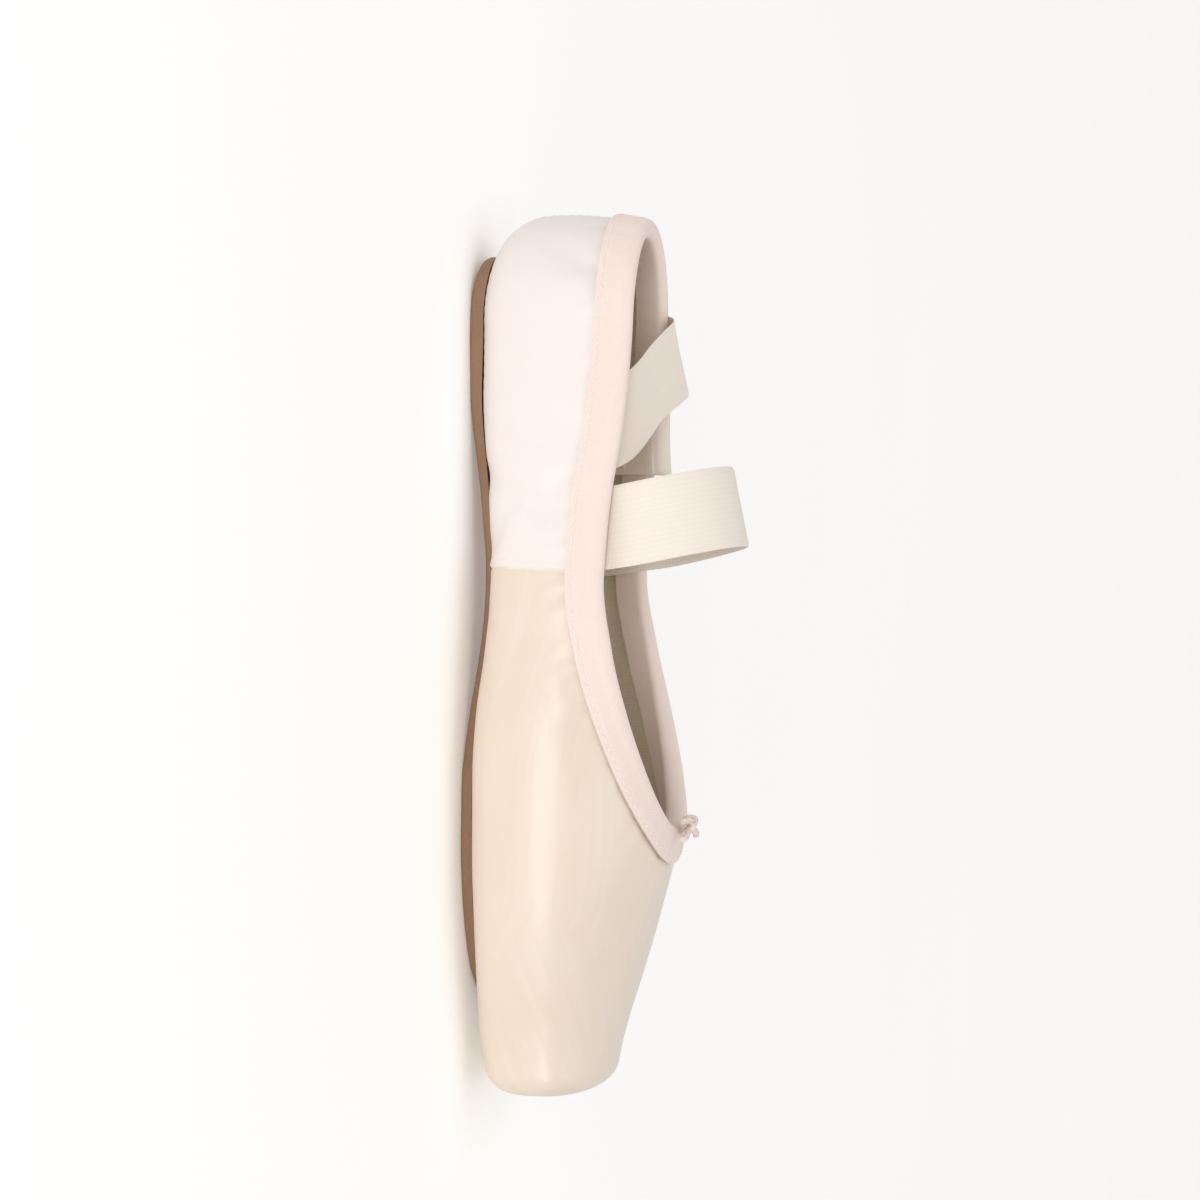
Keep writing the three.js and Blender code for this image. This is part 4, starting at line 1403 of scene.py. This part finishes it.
@dataclass(frozen=True)
class Route:
    """The way of a flat band: rows of x, y, z and twist in degrees."""

    rows: tuple[tuple[float, float, float, float], ...]
    half_width: float
    half_thickness: float
    step: float = 1.8
    floor_gap: float = 0.05

    @staticmethod
    def smooth(points: Points, parts: int | Sequence[int]) -> Points:
        """Centripetal curve through points.

        Args:
            points: the points that it passes.
            parts: divisions of each stretch, one number or one for each.

        Returns:
            Points along the curve.
        """
        first, last_one = 2 * points[0] - points[1], 2 * points[-1] - points[-2]
        held = np.concatenate([[first], points, [last_one]])
        counts = [parts] * (len(points) - 1) if isinstance(parts, int) else list(parts)
        made = []
        for i, count in enumerate(counts):
            p0, p1, p2, p3 = held[i : i + 4]
            d0, d1, d2 = (float(np.linalg.norm(b - a)) ** 0.5 for a, b in ((p0, p1), (p1, p2), (p2, p3)))
            t1 = ((p1 - p0) / d0 - (p2 - p0) / (d0 + d1) + (p2 - p1) / d1) * d1
            t2 = ((p2 - p1) / d1 - (p3 - p1) / (d1 + d2) + (p3 - p2) / d2) * d1
            t = (np.arange(count) / count)[:, None]
            made.append(
                p1
                + t * t1
                + t**2 * (-3 * p1 + 3 * p2 - 2 * t1 - t2)
                + t**3 * (2 * p1 - 2 * p2 + t1 + t2)
            )
        return np.concatenate([*made, points[-1:]])

    def frames(self) -> tuple[Points, Points, Points]:
        """The band's middle, the direction across it and the direction out of its face."""
        rows = np.array(self.rows, float)
        runs = np.linalg.norm(np.diff(rows[:, :3], axis=0), axis=1)
        parts = np.maximum(1, np.round(runs / self.step)).astype(int)
        points = self.smooth(rows[:, :3], list(parts))
        place = np.concatenate([i + np.arange(n) / n for i, n in enumerate(parts)] + [[len(parts)]])
        twists = Table(("row", "twist"), tuple((i, t) for i, t in enumerate(rows[:, 3])))
        twist = np.radians(twists.at("twist", place))[:, None]
        way, across = transported(points, np.array([1.0, 0, 0]))
        turned = across * np.cos(twist) + np.cross(way, across) * np.sin(twist)
        face = np.cross(way, turned)
        reach = np.abs(turned[:, 2]) * self.half_width + np.abs(face[:, 2]) * self.half_thickness
        points[:, 2] = np.maximum(points[:, 2], reach + self.floor_gap)
        return points, turned, face


@dataclass
class Band:
    """A woven band along a route, slightly cupped, with a firmer edge along each side."""

    name: str
    route: Route
    thickness: float
    cup: float = 0.25
    flutter: float = 0.2
    waves: tuple[tuple[float, float, float], ...] = ((1, 61, 0.2), (0.6, 27, 0.55))
    cup_drop: float = 0.6
    selvage: Swell = Swell(0.93, 0.04, 0.35)
    edge_loss: float = 0.75
    edge_power: int = 10

    def build(self, finish: Satin | Weave) -> tuple[bpy.types.Object, Points]:
        """Makes the band.

        Args:
            finish: its finish.

        Returns:
            The band and the points of its middle.
        """
        middle, across, face = self.route.frames()
        along = Line(middle).along
        share = np.sin(np.linspace(-1, 1, 17) * math.pi / 2)
        edge = np.abs(share) ** self.edge_power
        bow = self.cup * (1 - share**2) - self.cup * self.cup_drop
        wave = self.flutter * ripple(along, self.waves)[:, None] * share[None] * np.abs(share)
        half = self.thickness / 2 * (1 + self.selvage.over(np.abs(share)) - self.edge_loss * edge)
        rings = []
        for sign in (1, -1):
            lift = (bow + sign * half)[None] + wave
            row = (
                middle[:, None]
                + across[:, None] * (share * self.route.half_width)[None, :, None]
                + face[:, None] * lift[..., None]
            )
            rings.append(row if sign > 0 else row[:, ::-1])
        loop = np.concatenate(rings, axis=1)
        loop[..., 2] = np.maximum(loop[..., 2], self.route.floor_gap)
        flat = np.concatenate([share, share[::-1]]) * self.route.half_width
        cloth = joined(along[:, None], flat[None])
        skin = Skin()
        skin.grid(loop, cloth, closed=True)
        skin.lid(loop[0])
        skin.lid(loop[-1])
        return skin.build(self.name, [finish.material()], 50), middle

    def tab_lines(self, start: bool, length: float = 15.0, inset: float = 2.2) -> list[tuple[Points, Points]]:
        """Stitch lines that hold the band's end to the lining, along both edges and across.

        Args:
            start: whether it is the band's first end.
            length: how far the stitches run.
            inset: their distance from the edges.

        Returns:
            Lines with their outward directions.
        """
        middle, across, face = self.route.frames()
        if not start:
            middle, across, face = middle[::-1], across[::-1], face[::-1]
        along = Line(middle).along
        kept = (along > inset) & (along < length)
        inwards = np.sign(-(face[kept] @ np.array([0, 1.0, 0])) * np.sign(middle[kept][:, 1]))[:, None]
        lift = face[kept] * inwards * (self.thickness / 2 + 0.15)
        lines = []
        for side in (1, -1):
            offset = side * (self.route.half_width - inset)
            lines.append((middle[kept] + across[kept] * offset + lift, face[kept] * inwards))
        for row in (0, -1):
            shares = np.linspace(-1, 1, 12)[:, None] * (self.route.half_width - inset)
            line = middle[kept][row] + across[kept][row] * shares + lift[row]
            lines.append((line, np.repeat((face[kept][row] * inwards[row])[None], 12, axis=0)))
        return lines


BAND_HALF_WIDTH = 11.0
RIBBON_HALF_SOLID = 0.45
RIBBON_THICKNESS = 0.36
ELASTIC_HALF_SOLID = 0.5
ELASTIC_THICKNESS = 0.9
LEFT_RIBBON = Route(
    (
        (-60, 23.2, 22, 0),
        (-60, 22.3, 31, 2),
        (-60, 21.3, 39, 3),
        (-60, 21.5, 44.8, 2),
        (-60, 25.2, 47.6, 0),
        (-60, 29.2, 45.8, 0),
        (-60.3, 30.6, 37, 0),
        (-60.8, 31.4, 24, 0),
        (-61.4, 34, 9, 0),
        (-61.5, 42, 1.6, 0),
        (-58, 56, 0.8, 0),
        (-46, 68, 3, 12),
        (-25, 75, 6.5, 32),
        (0, 74, 5, 22),
        (26, 68, 0.8, 0),
        (52, 65, 2.6, -10),
        (77, 68, 7, -34),
        (96, 83, 10.6, -64),
        (92, 105, 10, -60),
        (73, 117, 6.5, -32),
        (50, 117, 3, -12),
        (27, 112, 0.8, 0),
        (4, 105, 3, 12),
        (-20, 103, 5, 22),
        (-42, 107, 2, 8),
        (-60, 108, 0.8, 0),
        (-78, 105, 0.8, 0),
    ),
    BAND_HALF_WIDTH,
    RIBBON_HALF_SOLID,
)
RIGHT_RIBBON = Route(
    (
        (-54, -22.6, 22, -3),
        (-56.2, -21.4, 30, -4),
        (-59.6, -18.6, 37.4, 2),
        (-63.4, -12.6, 43, 24),
        (-68.4, -4, 46, 31),
        (-73.4, 5.6, 47.4, 30),
        (-78, 15, 49.8, 27),
        (-81.4, 23.6, 51, 24),
        (-83.4, 31, 47.6, 21),
        (-85, 32.2, 39.6, 20),
        (-86.6, 32.6, 28, 17),
        (-88.8, 33.6, 15, 16),
        (-92, 37, 5, 16),
        (-96, 45, 1, 24),
        (-102, 59, 0.8, 27),
        (-110, 75, 2.6, 14),
        (-113, 94, 5.4, -8),
        (-106, 113, 8, -26),
        (-90, 129, 8, -28),
        (-66, 139, 4.6, 4),
        (-38, 142, 0.8, 26),
        (-10, 139, 2.6, 36),
        (18, 139, 5, 46),
        (44, 146, 2, 32),
        (68, 154, 0.8, 28),
        (92, 156, 2, 22),
        (116, 151, 0.8, 30),
    ),
    BAND_HALF_WIDTH,
    RIBBON_HALF_SOLID,
)
ELASTIC_HALF = (
    (-31, 26.3, 21, -5),
    (-31.5, 25.9, 27, -5),
    (-32.2, 24.3, 33, -5),
    (-33, 23.25, 39, -5),
    (-34, 24.6, 46, -3),
    (-35.6, 23.6, 54, 0),
    (-37.4, 19, 62.5, 0),
    (-38.8, 10.8, 69, 0),
)
ELASTIC_ROUTE = Route(
    (
        *((x, -y, z, twist) for x, y, z, twist in ELASTIC_HALF),
        (-39.3, 0, 71.4, 0),
        *reversed(ELASTIC_HALF),
    ),
    BAND_HALF_WIDTH,
    ELASTIC_HALF_SOLID,
)


@dataclass
class Ribbons:
    """The two satin ribbons, sewn inside the quarters, and lying loose beside the shoe."""

    width: float = 0.022

    def build(self) -> list[Band]:
        bands = []
        for name, node, route in (
            ("satin_ribbon_left", "ribbon_left", LEFT_RIBBON),
            ("satin_ribbon_right", "ribbon_right", RIGHT_RIBBON),
        ):
            band = Band(name, route, RIBBON_THICKNESS)
            piece, middle = band.build(RIBBON_SATIN)
            dress(piece, "ribbon", node)
            tuple(middle[0] * MM)
            middle * MM
            bands.append(band)
        return bands


class StitchTree:
    """Geometry nodes that lay raised stitches along lines of points, which hold their outward direction."""

    SIZES = (("Pitch", 2.5), ("Length", 1.8), ("Width", 0.5), ("Height", 0.42))

    def __init__(self) -> None:
        """Builds the node group."""
        self.tree = bpy.data.node_groups.new("stitch_row", "GeometryNodeTree")
        face = self.tree.interface
        face.new_socket("Geometry", in_out="INPUT", socket_type="NodeSocketGeometry")
        for name, size in self.SIZES:
            socket = face.new_socket(name, in_out="INPUT", socket_type="NodeSocketFloat")
            socket.default_value = size * MM
        face.new_socket("Material", in_out="INPUT", socket_type="NodeSocketMaterial")
        face.new_socket("Geometry", in_out="OUTPUT", socket_type="NodeSocketGeometry")
        start = self.tree.nodes.new("NodeGroupInput").outputs
        line = self._node("GeometryNodeMeshToCurve", {}, {"Mesh": start["Geometry"]})
        placed = self._node(
            "GeometryNodeResampleCurve", {"mode": "LENGTH"}, {"Curve": line[0], "Length": start["Pitch"]}
        )
        ball = self._node("GeometryNodeMeshUVSphere", {}, {"Segments": 8, "Rings": 5, "Radius": 0.5})
        size = self._node(
            "ShaderNodeCombineXYZ", {}, {"X": start["Length"], "Y": start["Width"], "Z": start["Height"]}
        )
        shaped = self._node("GeometryNodeTransform", {}, {"Geometry": ball["Mesh"], "Scale": size[0]})
        way = self._node("GeometryNodeInputTangent", {}, {})
        out = self._node("GeometryNodeInputNamedAttribute", {"data_type": "FLOAT_VECTOR"}, {"Name": OUT})
        along = self._node("FunctionNodeAlignRotationToVector", {"axis": "X"}, {"Vector": way[0]})
        turned = self._node(
            "FunctionNodeAlignRotationToVector",
            {"axis": "Z", "pivot_axis": "X"},
            {"Rotation": along[0], "Vector": out[0]},
        )
        laid = self._node(
            "GeometryNodeInstanceOnPoints",
            {},
            {"Points": placed[0], "Instance": shaped[0], "Rotation": turned[0]},
        )
        real = self._node("GeometryNodeRealizeInstances", {}, {"Geometry": laid[0]})
        smooth = self._node("GeometryNodeSetShadeSmooth", {}, {"Geometry": real[0]})
        dyed = self._node(
            "GeometryNodeSetMaterial", {}, {"Geometry": smooth[0], "Material": start["Material"]}
        )
        end = self.tree.nodes.new("NodeGroupOutput")
        self.tree.links.new(dyed[0], end.inputs[0])

    def _node(
        self, kind: str, settings: dict[str, object], inputs: dict[str, object]
    ) -> bpy.types.bpy_prop_collection:
        """Makes a node and returns its outputs."""
        made = self.tree.nodes.new(kind)
        for key, value in settings.items():
            setattr(made, key, value)
        for key, value in inputs.items():
            if isinstance(value, bpy.types.NodeSocket):
                self.tree.links.new(value, made.inputs[key])
            else:
                made.inputs[key].default_value = value
        return made.outputs

    def sew(
        self,
        name: str,
        lines: list[tuple[Points, Points]],
        material: bpy.types.Material,
        sizes: dict[str, float],
    ) -> bpy.types.Object:
        """Lays stitches along lines.

        Args:
            name: the piece's name.
            lines: points in millimetres with their outward directions.
            material: the thread.
            sizes: sizes in millimetres that differ from the tree's own.

        Returns:
            The stitches as one plain mesh.
        """
        points = np.concatenate([line for line, _ in lines])
        edges, start = [], 0
        for line, _ in lines:
            edges += [(start + k, start + k + 1) for k in range(len(line) - 1)]
            start += len(line)
        mesh = bpy.data.meshes.new(name + "_line")
        mesh.from_pydata(points * MM, edges, [])
        attribute = mesh.attributes.new(OUT, "FLOAT_VECTOR", "POINT")
        outward = np.concatenate([out for _, out in lines])
        attribute.data.foreach_set("vector", outward.astype(np.float32).ravel())
        holder = placed(name, mesh)
        modifier = holder.modifiers.new("stitches", "NODES")
        modifier.node_group = self.tree
        for item in self.tree.interface.items_tree:
            if item.in_out == "INPUT" and item.name in sizes:
                modifier[item.identifier] = sizes[item.name] * MM
            if item.in_out == "INPUT" and item.name == "Material":
                modifier[item.identifier] = material
        holder.update_tag()
        graph = bpy.context.evaluated_depsgraph_get()
        graph.update()
        sewn = bpy.data.meshes.new_from_object(holder.evaluated_get(graph))
        holder.modifiers.remove(modifier)
        holder.data = sewn
        sewn.name = name
        bpy.data.meshes.remove(mesh)
        return holder


@dataclass
class Studio:
    """Floor, lights and camera."""

    elevation: float = 12.0
    azimuth: float = 0.0
    distance: float = 0.93
    view_angle: float = 20.0
    aim: tuple[float, float, float] = (-14.0, 0.0, 33.0)
    sensor: float = 36.0
    floor_half: float = 60.0
    sky_spread: float = 70.0
    softbox_aim: tuple[float, float, float] = (0, 0, 0.03)
    world_colour: Colour = (1.0, 0.985, 0.97, 1)
    world_strength: float = 0.5

    def build(self) -> None:
        """Sets up the studio."""
        self._floor()
        self._camera()
        self._softbox("front_softbox", (0.1, -1.25, 0.17), (1.5, 0.18), 6.2)
        self._sky("high_sky", (-0.2, -0.3, 1.3), 0.7)
        self._sky("back_sky", (0.4, 1.3, 0.8), 0.4)
        world = bpy.data.worlds.new("studio")
        bpy.context.scene.world = world
        world.use_nodes = True
        backdrop = world.node_tree.nodes["Background"]
        backdrop.inputs["Color"].default_value = self.world_colour
        backdrop.inputs["Strength"].default_value = self.world_strength
        bpy.context.scene.view_settings.view_transform = "Standard"

    def _floor(self) -> None:
        """Lays the floor."""
        mesh = bpy.data.meshes.new("floor")
        half = self.floor_half
        corners = [(-half, -half, 0), (half, -half, 0), (half, half, 0), (-half, half, 0)]
        mesh.from_pydata(corners, [], [(0, 1, 2, 3)])
        mesh.materials.append(Floor().material())
        floor = placed("floor", mesh)

    def _sky(self, name: str, place: tuple[float, float, float], strength: float) -> None:
        """Lights everything evenly from a wide patch of sky in the direction of a place."""
        data = bpy.data.lights.new(name, "SUN")
        data.energy = strength
        data.angle = math.radians(self.sky_spread)
        light = placed(name, data)
        light.rotation_euler = (-Vector(place)).to_track_quat("-Z", "Y").to_euler()

    def _softbox(
        self, name: str, place: tuple[float, float, float], size: tuple[float, float], watts: float
    ) -> None:
        """Hangs a softbox that faces the shoe."""
        data = bpy.data.lights.new(name, "AREA")
        data.shape = "RECTANGLE"
        data.size, data.size_y = size
        data.energy = watts
        light = placed(name, data)
        light.location = place
        light.rotation_euler = (Vector(self.softbox_aim) - Vector(place)).to_track_quat("-Z", "Y").to_euler()

    def _camera(self) -> None:
        """Places the camera level with the side, rolled so that the toe points down."""
        data = bpy.data.cameras.new("camera")
        data.sensor_width = self.sensor
        data.lens = data.sensor_width / 2 / math.tan(math.radians(self.view_angle / 2))
        camera = placed("camera", data)
        a, e = math.radians(self.azimuth), math.radians(self.elevation)
        back = Vector((math.sin(a) * math.cos(e), -math.cos(a) * math.cos(e), math.sin(e)))
        level = Vector((math.cos(a), math.sin(a), 0))
        right = back.cross(level)
        turned = Matrix((right, -level, back)).transposed().to_4x4()
        camera.matrix_world = Matrix.Translation(Vector(self.aim) * MM + back * self.distance) @ turned
        bpy.context.scene.camera = camera


def main() -> None:
    """Builds the shoe piece by piece."""
    logging.basicConfig(level=logging.INFO, format="%(name)s: %(message)s")
    Studio().build()
    bands = Ribbons().build()
    last = Last()
    edge = CollarEdge.of(last)
    outsole, upper, binding = Outsole(last), Upper(last), Binding(last, edge)
    outsole.build()
    Insole(last).build()
    upper.build(outsole.line(), edge)
    binding.build()
    DrawstringKnot(last).build()
    strap = Band("elastic_instep_strap", ELASTIC_ROUTE, ELASTIC_THICKNESS, cup=0.1, flutter=0.0)
    dress(strap.build(ELASTIC)[0], "elastic", "elastic_strap")
    stitches, thread = StitchTree(), THREAD.material()
    tabs = [line for band in bands for line in band.tab_lines(True)]
    tabs += strap.tab_lines(True) + strap.tab_lines(False)
    dress(stitches.sew("seam_stitches", upper.seam_lines(), thread, {}), "satin")
    dress(stitches.sew("binding_stitches", binding.stitch_line(), thread, {"Width": 0.36}), "binding_tape")
    dress(stitches.sew("tab_stitches", tabs, thread, {"Pitch": 2.2, "Length": 1.6}), "ribbon")


if __name__ == "__main__":
    main()
